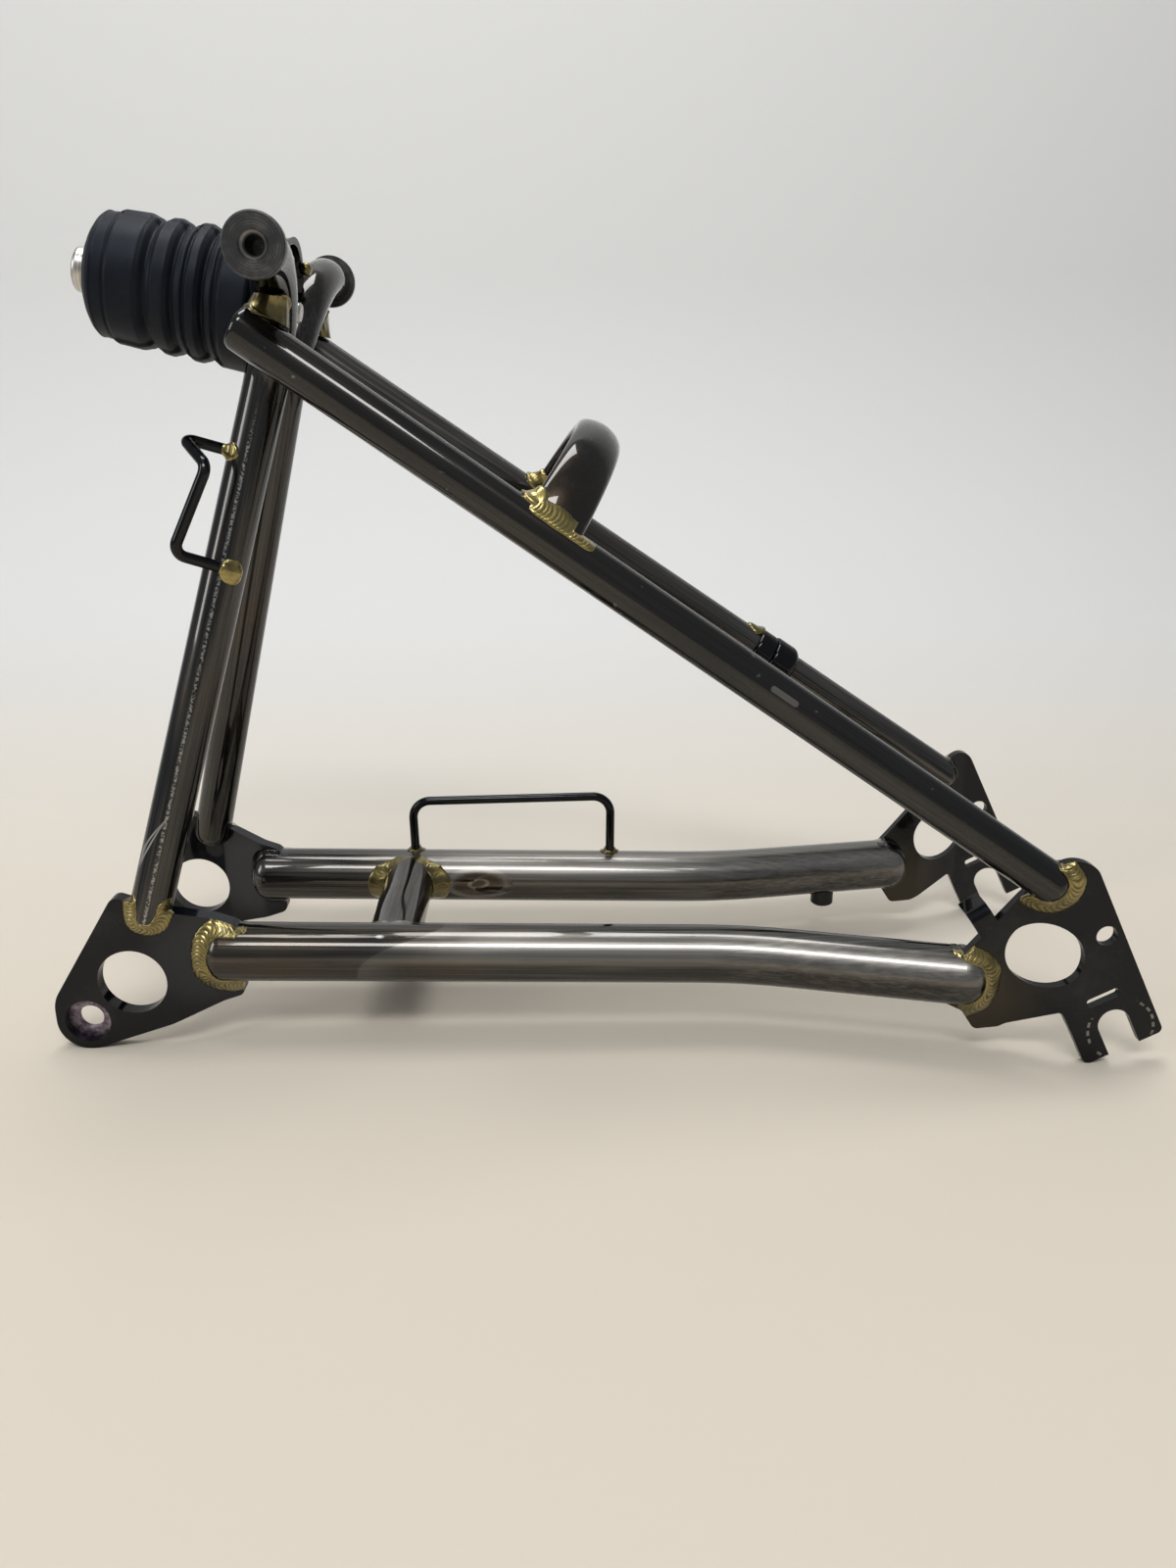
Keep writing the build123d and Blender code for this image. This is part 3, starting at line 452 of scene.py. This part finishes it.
# Seatstay arch
# Pressed sheet over the wheel: domed across, with both edges rolled in and a lip behind.
# ARCH_SECTION holds each point's place along the stays and its height off the round line.
ARCH_HALF_SPAN = 42.5
ARCH_CROWN = 32.0
ARCH_STATIONS = 60
ARCH_SECTION = [
    (1.0, -3.2), (0.2, -2.2), (0.1, -0.8), (0.9, 0.7), (2.6, 1.8), (5.5, 2.8), (8.5, 3.1),
    (11.5, 2.5), (14.0, 1.3), (15.5, -0.4), (16.0, -2.6), (16.0, -8.0), (14.6, -8.0),
    (14.3, -3.0), (13.0, -0.9), (11.0, 0.4), (8.5, 1.0), (5.5, 0.8), (3.4, -0.1),
    (2.4, -1.3), (2.2, -2.8),
]
ARCH_FOOT_X = 142.3
ARCH_SINKS = 0.45
ARCH_WIDENS = 0.13
WHISKER_AT = (151.6, -43.0, 167.6)
ARCH_FOOT = SEATSTAY_TIP + SEATSTAY_AXIS * ((ARCH_FOOT_X - SEATSTAY_TIP.x) / SEATSTAY_AXIS.x)
STAYS_ALONG = Vector((SEATSTAY_AXIS.x, 0.0, SEATSTAY_AXIS.z)).normalized()
STAYS_UP = Vector((-STAYS_ALONG.z, 0.0, STAYS_ALONG.x))


def extrude_ring(bm, edges, verts):
    """Grows a ring of edges whose vertices are in order, and keeps that order."""
    edges, fresh = extrude_row(bm, edges)
    old = {vert: index for index, vert in enumerate(verts)}
    ordered = list(verts)
    for vert in fresh:
        for edge in vert.link_edges:
            other = edge.other_vert(vert)
            if other in old:
                ordered[old[other]] = vert
    return edges, ordered


arch_steel = TubeFinish("arch_steel", (150.0, 0.0, 170.0), (0.0, 1.0, 0.0), grey=0.15)
arch_steel.shader.inputs["Coat Roughness"].default_value = 0.03
soft = arch_steel.noise(arch_steel.place, 45.0, 3.0)
arch_steel.mark(soft.ramp(0.5, 0.75) * 0.05, TUBE_BARE_AND_HIGHLIGHT, 0.3)
x, y, z = arch_steel.axes(arch_steel.local(WHISKER_AT, (0.6, 0.0, 0.8), (0.0, -1.0, 0.0)))
whisker = abs(y).ramp(0.6, 0.25) * abs(x).ramp(3.0, 2.0) * abs(z).ramp(4.0, 3.0)
arch_steel.mark(whisker * 0.8, SCRATCH)
arch_steel.done()

radius = (ARCH_HALF_SPAN ** 2 + ARCH_CROWN ** 2) / (2.0 * ARCH_CROWN)
reach = math.atan2(ARCH_HALF_SPAN, radius - ARCH_CROWN)
bm = bmesh.new()
verts = [bm.verts.new((0.0, 0.0, 0.0)) for point in ARCH_SECTION]
row = [bm.edges.new((a, b)) for a, b in zip(verts, verts[1:] + verts[:1])]
bm.faces.new(verts)
for station in range(ARCH_STATIONS + 1):
    angle = reach * (2.0 * station / ARCH_STATIONS - 1.0)
    away = (abs(angle) / reach) ** 1.5
    if station:
        row, verts = extrude_ring(bm, row, verts)
    for vert, (along, rise) in zip(verts, ARCH_SECTION):
        off = radius + rise * (1.0 - ARCH_SINKS * away)
        over = ARCH_CROWN - radius + off * math.cos(angle)
        middle = Vector((ARCH_FOOT.x, off * math.sin(angle), ARCH_FOOT.z))
        back = STAYS_ALONG * along * (1.0 + ARCH_WIDENS * away)
        vert.co = middle + STAYS_UP * over + back
bm.faces.new(verts)
bmesh.ops.recalc_face_normals(bm, faces=bm.faces)
arch = new_piece("arch_sheet", bm, arch_steel)
rounding = arch.modifiers.new("rounding", "SUBSURF")
rounding.levels = rounding.render_levels = 2
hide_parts("seatstay_arch")
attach(arch, "root")


# Roller bosses
# Turned steel with the lathe's rings on its face, left bare and gone dull.
BOSS_GREY = (0.075, 0.075, 0.076, 1.0)
BOSS_LIGHT = (0.19, 0.185, 0.18, 1.0)
BOSS_AT = (76.8, 0.0, 228.2)
BOSS_HOLE_R = 3.15
boss_steel = Finish("boss_steel", Metallic=1.0)
radius, x, y, z = around(boss_steel, BOSS_AT)
turning = boss_steel.node("ShaderNodeCombineXYZ", {}, [radius * 3.2, y * 0.2, 0.0])
rings = boss_steel.noise(turning, 1.0, 3.0)
smear = boss_steel.noise(boss_steel.place, 260.0, 3.0)
edge = radius.ramp(9.4, 9.9) + abs(radius - BOSS_HOLE_R).ramp(0.45, 0.15)
shade = boss_steel.blend((rings * 0.5 + smear * 0.5).ramp(0.45, 0.7), BOSS_GREY, BOSS_LIGHT)
boss_steel.feed(
    Base_Color=boss_steel.blend(edge.math("MINIMUM", 1.0) * 0.5, shade, SCRATCH),
    Roughness=0.3 + smear * 0.25,
    Normal=boss_steel.bump(rings, 0.00006, 0.6),
)
for node in ("roller_boss_left", "roller_boss_right"):
    fitted(node, boss_steel)


# Nose bolt, washer and nut
# Bright turned and plated steel with fine rings.
BOLT_SHADE = (0.42, 0.40, 0.37, 1.0)
BOLT_BRIGHT = (0.72, 0.70, 0.66, 1.0)
NOSE_TIP = Vector((12.25, 0.0, 227.4))
BLOCK_FALL = math.radians(10.8)
BLOCK_AXIS = Vector((math.cos(BLOCK_FALL), 0.0, -math.sin(BLOCK_FALL)))
bright = Finish("bright_steel", Metallic=1.0)
x, y, z = bright.axes(bright.local(NOSE_TIP, BLOCK_AXIS))
turning = bright.node("ShaderNodeCombineXYZ", {}, [x * 5.0, (y * y + z * z) ** 0.5, 0.0])
turned = bright.noise(turning, 1.0, 3.0)
bright.feed(
    Base_Color=bright.blend(turned.ramp(0.35, 0.7), BOLT_SHADE, BOLT_BRIGHT),
    Roughness=0.22 + turned * 0.2,
    Normal=bright.bump(turned, 0.00005, 0.5),
)
for node in ("nose_bolt", "block_washer", "block_nut"):
    fitted(node, bright)


# Rubber block
# Moulded rubber: a domed front, a band, two rounded rings and a plain rear part, each with a
# flatter panel along both sides, and an extra rib in two of the grooves there.
RUBBER = (0.004, 0.0048, 0.008, 1.0)
RUBBER_DUST = (0.010, 0.0115, 0.017, 1.0)
RUBBER_STEPS = 190
RUBBER_TURNS = 160
PANEL_HALF = math.radians(73.0)
PANEL_EDGE = math.radians(1.5)
DOME_LINE = [
    (3.85, 3.05), (3.9, 7.2), (4.6, 9.5), (5.6, 12.5), (6.8, 14.9), (8.2, 16.9), (9.2, 17.7),
    (9.5, 17.45), (12.6, 17.75),
]
STRIP_LINE = DOME_LINE + [
    (12.9, 17.35), (13.3, 18.35), (14.2, 18.75), (20.8, 19.05), (23.3, 18.3), (24.9, 17.2),
    (26.6, 18.3), (28.0, 19.1), (29.8, 19.25), (31.6, 18.6), (33.5, 17.4), (35.2, 18.6),
    (36.6, 19.4), (38.4, 19.5), (40.2, 18.8), (41.7, 17.6), (43.2, 18.7), (44.6, 19.6),
    (53.0, 19.95), (54.0, 19.3), (54.15, 3.05),
]
PANEL_LINE = DOME_LINE + [
    (12.9, 17.3), (13.6, 17.9), (14.2, 18.05), (21.4, 18.35), (22.6, 17.9), (24.5, 16.6),
    (25.9, 17.2), (26.6, 18.4), (30.0, 18.7), (31.0, 18.2), (32.3, 16.9), (33.2, 17.5),
    (34.7, 17.9), (35.6, 17.2), (36.1, 17.6), (36.7, 18.9), (38.8, 19.0), (39.8, 18.4),
    (41.0, 17.0), (42.0, 17.7), (43.4, 18.2), (44.3, 17.6), (45.0, 18.6), (46.0, 19.5),
    (53.0, 19.85), (54.0, 19.3), (54.15, 3.05),
]


def smooth(value):
    value = min(max(value, 0.0), 1.0)
    return value * value * (3.0 - 2.0 * value)


def on_line(line, station):
    """Radius of a moulded line at a station, eased between its points."""
    for (s0, r0), (s1, r1) in zip(line, line[1:]):
        if station <= s1:
            share = (station - s0) / (s1 - s0)
            return r0 + (r1 - r0) * (0.5 * share + 0.5 * smooth(share))
    return line[-1][1]


rubber = Finish("block_rubber", Specular_IOR_Level=0.2)
rubber.shader.inputs["Specular Tint"].default_value = (0.75, 0.85, 1.0, 1.0)
grain = rubber.noise(rubber.place, 1500.0, 2.0)
cloud = rubber.noise(rubber.place, 70.0, 3.0)
rubber.feed(
    Base_Color=rubber.blend(cloud.ramp(0.45, 0.75) * 0.5, RUBBER, RUBBER_DUST),
    Roughness=0.40 + cloud * 0.2,
    Normal=rubber.bump(grain, 0.00004, 0.5),
)
bm = bmesh.new()
first, last = STRIP_LINE[0][0], STRIP_LINE[-1][0]
line = [bm.verts.new((1.0, 0.0, first))]
line_edges = []
for step in range(RUBBER_STEPS):
    line.append(bm.verts.new((1.0, 0.0, first + (last - first) * (step + 1) / RUBBER_STEPS)))
    line_edges.append(bm.edges.new(line[-2:]))
bmesh.ops.spin(
    bm, geom=line + line_edges, cent=(0, 0, 0), axis=(0, 0, 1), dvec=(0, 0, 0),
    angle=math.tau, steps=RUBBER_TURNS, use_merge=True, use_duplicate=False,
)
for vert in bm.verts:
    station = vert.co.z
    turn = math.atan2(vert.co.y, vert.co.x)
    from_side = abs(abs(math.remainder(turn, math.tau)) - math.pi / 2)
    panel = smooth((PANEL_HALF - from_side) / PANEL_EDGE + 0.5)
    radius = on_line(STRIP_LINE, station) * (1 - panel) + on_line(PANEL_LINE, station) * panel
    vert.co = Vector((radius * math.cos(turn), radius * math.sin(turn), station))
bmesh.ops.recalc_face_normals(bm, faces=bm.faces)
placed = BLOCK_AXIS.to_track_quat("Z", "X").to_matrix().to_4x4()
bmesh.ops.transform(bm, matrix=Matrix.Translation(NOSE_TIP) @ placed, verts=bm.verts)
block = new_piece("rubber_block", bm, rubber)
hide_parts("suspension_block")
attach(block, "root")


# Brass fillets
# Brass flowed by hand round each joint, one drop after another, which leaves curved ripples.
# Each run is laid over the steel under it, so it sits close from every side.
BRASS_GOLD = (0.34, 0.27, 0.09, 1.0)
BRASS_OLIVE = (0.14, 0.115, 0.036, 1.0)
BRASS_GROOVE_SHADE = (0.035, 0.026, 0.010, 1.0)
BRASS_HIDDEN_SHADE = (0.010, 0.009, 0.008, 1.0)
RIPPLE_PITCH = 1.35
RIPPLE_DEPTH = 0.38
RIPPLE_CURL = 2.2
BEAD_HEIGHT = 0.6
BEAD_TAPER = 2.4
EDGE_SUNK = 0.06
BURIED = 0.8
STATION = 0.2
ACROSS = 15
RAY = 25.0
SEARCH = 32
HANG = 1.6
CLIMB = 3.6
HIDDEN_RIPPLE = 0.2
OUTWARD = (0.0, -1.0, 0.0)
INWARD = (0.0, 1.0, 0.0)

brass = Finish("braze_brass", Metallic=1.0, Coat_Weight=0.8, Coat_Roughness=0.08)
cloud = brass.noise(brass.place, 130.0, 4.0, 0.65)
pits = brass.noise(brass.place, 1300.0, 2.0)
groove = brass.node("ShaderNodeAttribute", {"attribute_name": "groove"}, []).part("Fac")
painted_shade = brass.node("ShaderNodeAttribute", {"attribute_name": "painted_shade"}, []).part("Fac")
color = brass.blend(cloud.ramp(0.44, 0.70), BRASS_GOLD, BRASS_OLIVE)
# Painted shade darkens the brass in the grooves between its ripples.
color = brass.blend(groove * 0.85, color, BRASS_GROOVE_SHADE)
brass.feed(
    # Painted shade darkens the brass inside the frame and in crotches, by as much as each run or
    # lump is given.
    Base_Color=brass.blend(painted_shade, color, BRASS_HIDDEN_SHADE),
    Roughness=0.2 + cloud * 0.18 + groove * 0.1,
    Normal=brass.bump(pits, 0.00005, 0.4),
)
graph = bpy.context.evaluated_depsgraph_get()


def surface(*names):
    """Nodes that a run of brass can be laid on."""
    return [BVHTree.FromObject(nodes[name], graph) for name in names]


def height_over(trees, point, up):
    """How far the steel reaches past point along up, or None beside it."""
    found = [tree.ray_cast((point + up * RAY) * MM, -up, 2.0 * RAY * MM) for tree in trees]
    reached = [RAY - distance / MM for hit, normal, face, distance in found if hit is not None]
    return max(reached, default=None)


def smooth_route(points):
    """Closely spaced points on one smooth curve through the given ones."""
    points = [Vector(p) for p in points]
    padded = [points[0] * 2 - points[1], *points, points[-1] * 2 - points[-2]]
    route = []
    for a, b, c, d in zip(padded, padded[1:], padded[2:], padded[3:]):
        steps = max(2, round((c - b).length / STATION))
        for step in range(steps):
            t = step / steps
            bent = (2 * a - 5 * b + 4 * c - d) * t * t + (3 * b - a - 3 * c + d) * t ** 3
            route.append(0.5 * (2 * b + (c - a) * t + bent))
    return [*route, points[-1]]


def laid_over(trees, point, out, up, low, high):
    """Offsets across a run from low to high, and the height of the steel at each.

    The run is narrowed to where there is steel that is neither far below nor a high wall.
    """
    level = height_over(trees, point + out * 0.6, up)
    searched = [low + (high - low) * k / SEARCH for k in range(SEARCH + 1)]
    heights = [height_over(trees, point + out * off, up) for off in searched]
    if level is None:
        level = next((height for height in heights[::-1] if height is not None), 0.0)

    def bears(height):
        return height is not None and -HANG < height - level < CLIMB

    solid = [off for off, height in zip(searched, heights) if bears(height)]
    if not solid:
        return [0.0] * ACROSS, [level - HANG] * ACROSS
    low, high = solid[0], solid[-1]
    offsets = [low + (high - low) * k / (ACROSS - 1) for k in range(ACROSS)]
    tops = []
    for off in offsets:
        height = height_over(trees, point + out * off, up)
        tops.append(height if bears(height) else tops[-1])
    return offsets, tops


def brass_run(bm, trees, corner, up, inside, outside, seed=0.0, painted_shade=0.0, climb=0.0, ripple=1.0):
    """Lays one rippled run of brass over the corner line between two pieces of steel.

    It reaches inside mm up the one piece and outside mm over the other, which is on the right
    of the line as seen against up. climb lifts the inner edge, and outside may be a function
    of the share of the line that is done.
    """
    # Each vertex keeps how far painted shade darkens the brass there.
    grooves = bm.verts.layers.float.get("groove") or bm.verts.layers.float.new("groove")
    shade_layer = bm.verts.layers.float.get("painted_shade") or bm.verts.layers.float.new("painted_shade")
    route = smooth_route(corner)
    up = Vector(up).normalized()
    length = sum((b - a).length for a, b in zip(route, route[1:]))
    closed = (route[0] - route[-1]).length < 0.01
    gone = 0.0
    verts = [bm.verts.new((0.0, 0.0, 0.0)) for k in range(ACROSS + 2)]
    row = [bm.edges.new((a, b)) for a, b in zip(verts, verts[1:] + verts[:1])]
    bm.faces.new(verts)
    for index, point in enumerate(route):
        along = route[min(index + 3, len(route) - 1)] - route[max(index - 3, 0)]
        if closed and (index < 3 or index > len(route) - 4):
            along = route[3] - route[-4]
        out = along.cross(up).normalized()
        if index:
            gone += (point - route[index - 1]).length
            row, verts = extrude_ring(bm, row, verts)
        share = gone / length
        ends = math.sqrt(smooth(gone / BEAD_TAPER) * smooth((length - gone) / BEAD_TAPER))
        ends = 1.0 if closed else ends
        swell = (1.0 + 0.16 * noise.noise(Vector((gone * 0.25, seed, 0.3)))) * (0.3 + 0.7 * ends)
        wander = 0.7 * noise.noise(Vector((gone * 0.4, seed, 7.0)))
        reach = outside(share) if callable(outside) else outside
        offsets, steel = laid_over(trees, point, out, up, -inside * swell, reach * swell)
        for k, off in enumerate(offsets):
            t = k / (ACROSS - 1)
            bow = 4.0 * t * (1.0 - t)
            drop = steel[-1] - steel[0]
            chord = steel[0] + drop * t - 0.10 * bow * abs(drop)
            lag = (gone + RIPPLE_CURL * bow + wander) / RIPPLE_PITCH
            wave = abs(math.sin(math.pi * lag)) ** 0.7
            relief = RIPPLE_DEPTH * ripple * (wave - 0.4) * bow ** 0.4
            thick = (BEAD_HEIGHT * bow ** 0.6 + relief) * ends
            height = max(steel[k], chord) + thick - EDGE_SUNK + climb * (1.0 - t) ** 2
            verts[k].co = point + out * off + up * height
            # How much painted shade darkens the brass between the ripples.
            verts[k][grooves] = (1.0 - wave) * ripple * min(1.0, 3.0 * bow)
            verts[k][shade_layer] = painted_shade
        verts[ACROSS].co = point + out * offsets[-1] + up * (steel[-1] - BURIED)
        verts[ACROSS + 1].co = point + out * offsets[0] + up * (steel[0] - BURIED)
        for vert in verts[ACROSS:]:
            vert[shade_layer] = painted_shade
    bm.faces.new(verts)


def brass_drop(bm, trees, centre, size, skin, seed=0.0, painted_shade=0.0):
    """A lump of brass that lies on the steel, skin mm thick where it spreads out."""
    shade_layer = bm.verts.layers.float.get("painted_shade") or bm.verts.layers.float.new("painted_shade")
    lump = bmesh.ops.create_icosphere(bm, subdivisions=6, radius=1.0)["verts"]
    for vert in lump:
        rough = 1.0 + 0.10 * noise.noise(vert.co * 1.5 + Vector((seed, 0.0, 0.0)))
        place = Vector([c + s * v * rough for c, s, v in zip(centre, size, vert.co)])
        found = [tree.find_nearest(place * MM) for tree in trees]
        near, normal, face, gap = min(found, key=lambda hit: hit[3])
        gap /= MM
        if (place - near / MM).dot(normal) > 0.0 and gap > 0.01:
            kept = skin * (1.0 - math.exp(-gap / skin))
            place = near / MM + (place - near / MM) * (kept / gap)
        vert.co = place
        vert[shade_layer] = painted_shade


def brass_piece(name, bm, node):
    bmesh.ops.recalc_face_normals(bm, faces=bm.faces)
    piece = new_piece(name, bm, brass)
    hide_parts(node)
    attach(piece, "root")


def brazed(name, make):
    """Makes a joint's brass for the left side and its mirror for the right."""
    for side, flip in (("left", 1.0), ("right", -1.0)):
        bm = bmesh.new()
        make(bm)
        bmesh.ops.scale(bm, verts=bm.verts, vec=(1.0, flip, 1.0))
        brass_piece(f"brass_{name}_{side}", bm, f"braze_{name}_{side}")


def plate_brass(plate, tube, y, line, seed, outer, inner):
    """Brass round a tube's end in a plate: wide and golden outside, thin inside and darkened
    there with painted shade.

    The line's points are given as X and Z, and lie at y across. outer and inner hold how far
    the brass goes up the tube and over the plate.
    """

    def make(bm):
        steel = surface(plate, tube)
        route = [(x, y, z) for x, z in line]
        brass_run(bm, steel, route, OUTWARD, *outer, seed)
        brass_run(bm, steel, route[::-1], INWARD, *inner, seed + 1.0, 1.0, ripple=HIDDEN_RIPPLE)

    return make


# Round the front end of each chainstay.
line = [
    (52.2, 29.7), (48.0, 29.4), (42.7, 29.4), (40.0, 28.0), (38.7, 25.4), (38.0, 21.5),
    (38.1, 17.4), (38.9, 14.6), (40.6, 12.2), (43.4, 10.9), (48.0, 10.8), (51.6, 10.5),
]
plate = "pivot_plate_left"
fillet = plate_brass(plate, "chainstay_left", -35.0, line, 1.0, (2.2, 3.8), (0.9, 1.4))
brazed("pivot_chainstay", fillet)

# Round the foot of each upright.
line = [
    (30.9, 41.8), (30.2, 39.6), (28.9, 36.4), (27.2, 33.4), (24.6, 31.9), (21.9, 31.9),
    (19.4, 32.8), (17.7, 35.2), (17.6, 38.6), (17.9, 42.7), (18.3, 44.6),
]
fillet = plate_brass(plate, "upright_left", -38.5, line, 3.0, (1.7, 3.0), (0.8, 1.3))
brazed("pivot_upright", fillet)

# Round the rear end of each chainstay.
line = [
    (279.4, 6.7), (282.6, 6.9), (285.8, 8.4), (287.8, 11.2), (288.5, 14.7), (288.0, 19.3),
    (286.0, 22.2), (282.4, 24.0), (279.6, 24.8), (277.2, 25.0),
]
plate = "dropout_left"
fillet = plate_brass(plate, "chainstay_left", -49.5, line, 5.0, (1.7, 4.0), (0.9, 1.4))
brazed("axle_chainstay", fillet)

# Round the rear end of each seatstay.
line = [
    (296.2, 47.1), (297.9, 45.8), (300.6, 44.4), (303.6, 44.5), (306.0, 46.6), (307.7, 49.4),
    (308.0, 52.2), (306.8, 54.8), (304.9, 56.9), (303.8, 57.7),
]
fillet = plate_brass(plate, "seatstay_left", -54.0, line, 7.0, (1.6, 4.0), (0.9, 1.3))
brazed("axle_seatstay", fillet)


# In the crotch between each seatstay's tip and the elbow above it.
def elbow_seatstay_brass(bm):
    steel = surface("seatstay_left", "upright_left")
    brass_drop(bm, steel, (74.0, -31.0, 214.2), (8.0, 5.2, 4.6), 1.0, 1.3, 0.45)


brazed("elbow_seatstay", elbow_seatstay_brass)


# Between the cup and each elbow.
def dish_brass(bm):
    steel = surface("block_dish", "upright_left")
    brass_drop(bm, steel, (76.9, -13.4, 228.4), (2.3, 2.3, 2.0), 9.0, 3.7, 0.3)


brazed("dish", dish_brass)


# A collar where the bridge tube meets each chainstay, widest at the front and the back.
COLLAR_POINTS = 24


def bridge_brass(bm):
    steel = surface("chainstay_left")
    line = []
    for step in range(COLLAR_POINTS):
        angle = math.tau * step / COLLAR_POINTS
        beside = Vector((math.cos(angle), 0.0, math.sin(angle))) * (BRIDGE_R - 0.1)
        line.append((BRIDGE_AT.x + beside.x, CHAINSTAY_FRONT.y, BRIDGE_AT.z + beside.z))
    line.append(line[0])

    def wide(share):
        return 0.3 + 6.2 * math.cos(math.tau * share) ** 2

    brass_run(bm, steel, line[::-1], INWARD, 0.0, wide, 10.0, 0.5, climb=2.2, ripple=0.3)


brazed("bridge", bridge_brass)


# Along the outside of each foot of the arch, with a lump inside its front corner.
def arch_brass(bm):
    steel = [*surface("seatstay_left"), BVHTree.FromObject(arch, graph)]
    beside = ARCH_FOOT + Vector((0.0, -4.3, 0.0)) + STAYS_UP * 4.9
    outer = [beside + SEATSTAY_AXIS * s for s in (22.0, 13.0, 6.0, 0.0)]
    lean = Vector((0.0, -0.85, 0.0)) + STAYS_UP * 0.5
    brass_run(bm, steel, outer, lean, 1.4, 5.6, 11.0, ripple=0.6)
    corner = ARCH_FOOT + SEATSTAY_AXIS * 0.5 + Vector((0.0, 1.5, 0.0)) + STAYS_UP * 6.6
    brass_drop(bm, steel, corner, (4.8, 4.6, 4.4), 1.3, 5.0)


brazed("arch", arch_brass)


# Small lumps at the feet of the two wires and at the cable stop.
ON_LOOP = ("upright_left", "cable_loop_left")
ON_GUIDE = ("chainstay_right", "guide_wire_right")
ON_STOP = ("seatstay_right", "cable_stop_right")
# The last number is how much painted shade darkens each lump.
for name, on, centre, size, skin, painted_shade in (
    ("loop_upper", ON_LOOP, (57.6, -19.8, 176.2), (3.0, 3.2, 3.0), 1.0, 0.2),
    ("loop_lower", ON_LOOP, (55.8, -26.8, 142.0), (3.8, 3.6, 3.9), 1.5, 0.0),
    ("guide_front", ON_GUIDE, (98.8, 34.2, 28.4), (3.5, 3.5, 2.6), 0.8, 0.45),
    ("guide_rear", ON_GUIDE, (171.9, 34.2, 27.1), (3.5, 3.5, 2.6), 0.8, 0.45),
    ("cable_stop", ON_STOP, (225.6, 46.6, 109.2), (4.2, 4.2, 3.6), 1.3, 0.3),
):
    bm = bmesh.new()
    brass_drop(bm, surface(*on), centre, size, skin, centre[0], painted_shade)
    brass_piece(f"brass_{name}", bm, f"braze_{name}")


# Studio
# Soft lamps above, in front and to the left, and a camera where the photograph's was.
CAMERA_AT = Vector((151.97, -381.36, 193.89)) * MM
CAMERA_VIEW = Vector((0.0269, 0.9474, -0.3189))
FOCAL_PIXELS = 1200.0
FRAME_PIXELS = 1600.0
SENSOR = 36.0
LAMP_AIM = Vector((0.15, 0.0, 0.1))

camera_data = bpy.data.cameras.new("camera")
camera_data.sensor_fit = "VERTICAL"
camera_data.sensor_height = SENSOR
camera_data.lens = SENSOR * FOCAL_PIXELS / FRAME_PIXELS
camera_data.clip_start = 0.01
camera = bpy.data.objects.new("camera", camera_data)
camera.location = CAMERA_AT
camera.rotation_euler = CAMERA_VIEW.to_track_quat("-Z", "Y").to_euler()
bpy.context.scene.collection.objects.link(camera)
bpy.context.scene.camera = camera


def lamp(name, at, size, power):
    """A soft rectangular lamp of size metres, aimed at the middle of the part."""
    data = bpy.data.lights.new(name, "AREA")
    data.shape = "RECTANGLE"
    data.size, data.size_y = size
    data.energy = power
    light = bpy.data.objects.new(name, data)
    light.location = at
    light.rotation_euler = (LAMP_AIM - Vector(at)).to_track_quat("-Z", "Y").to_euler()
    bpy.context.scene.collection.objects.link(light)


lamp("top_lamp", (0.0, 0.2, 1.6), (1.0, 0.5), 13.0)
lamp("front_lamp", (0.1, -1.0, 1.35), (0.9, 0.3), 11.0)
lamp("left_lamp", (-1.3, -0.7, 0.8), (0.4, 0.8), 6.0)
world = bpy.data.worlds.new("studio")
bpy.context.scene.world = world
world.use_nodes = True
sky = world.node_tree.nodes["Background"]
sky.inputs["Color"].default_value = (0.85, 0.88, 0.92, 1.0)
sky.inputs["Strength"].default_value = 0.3
bpy.context.scene.view_settings.view_transform = "Standard"
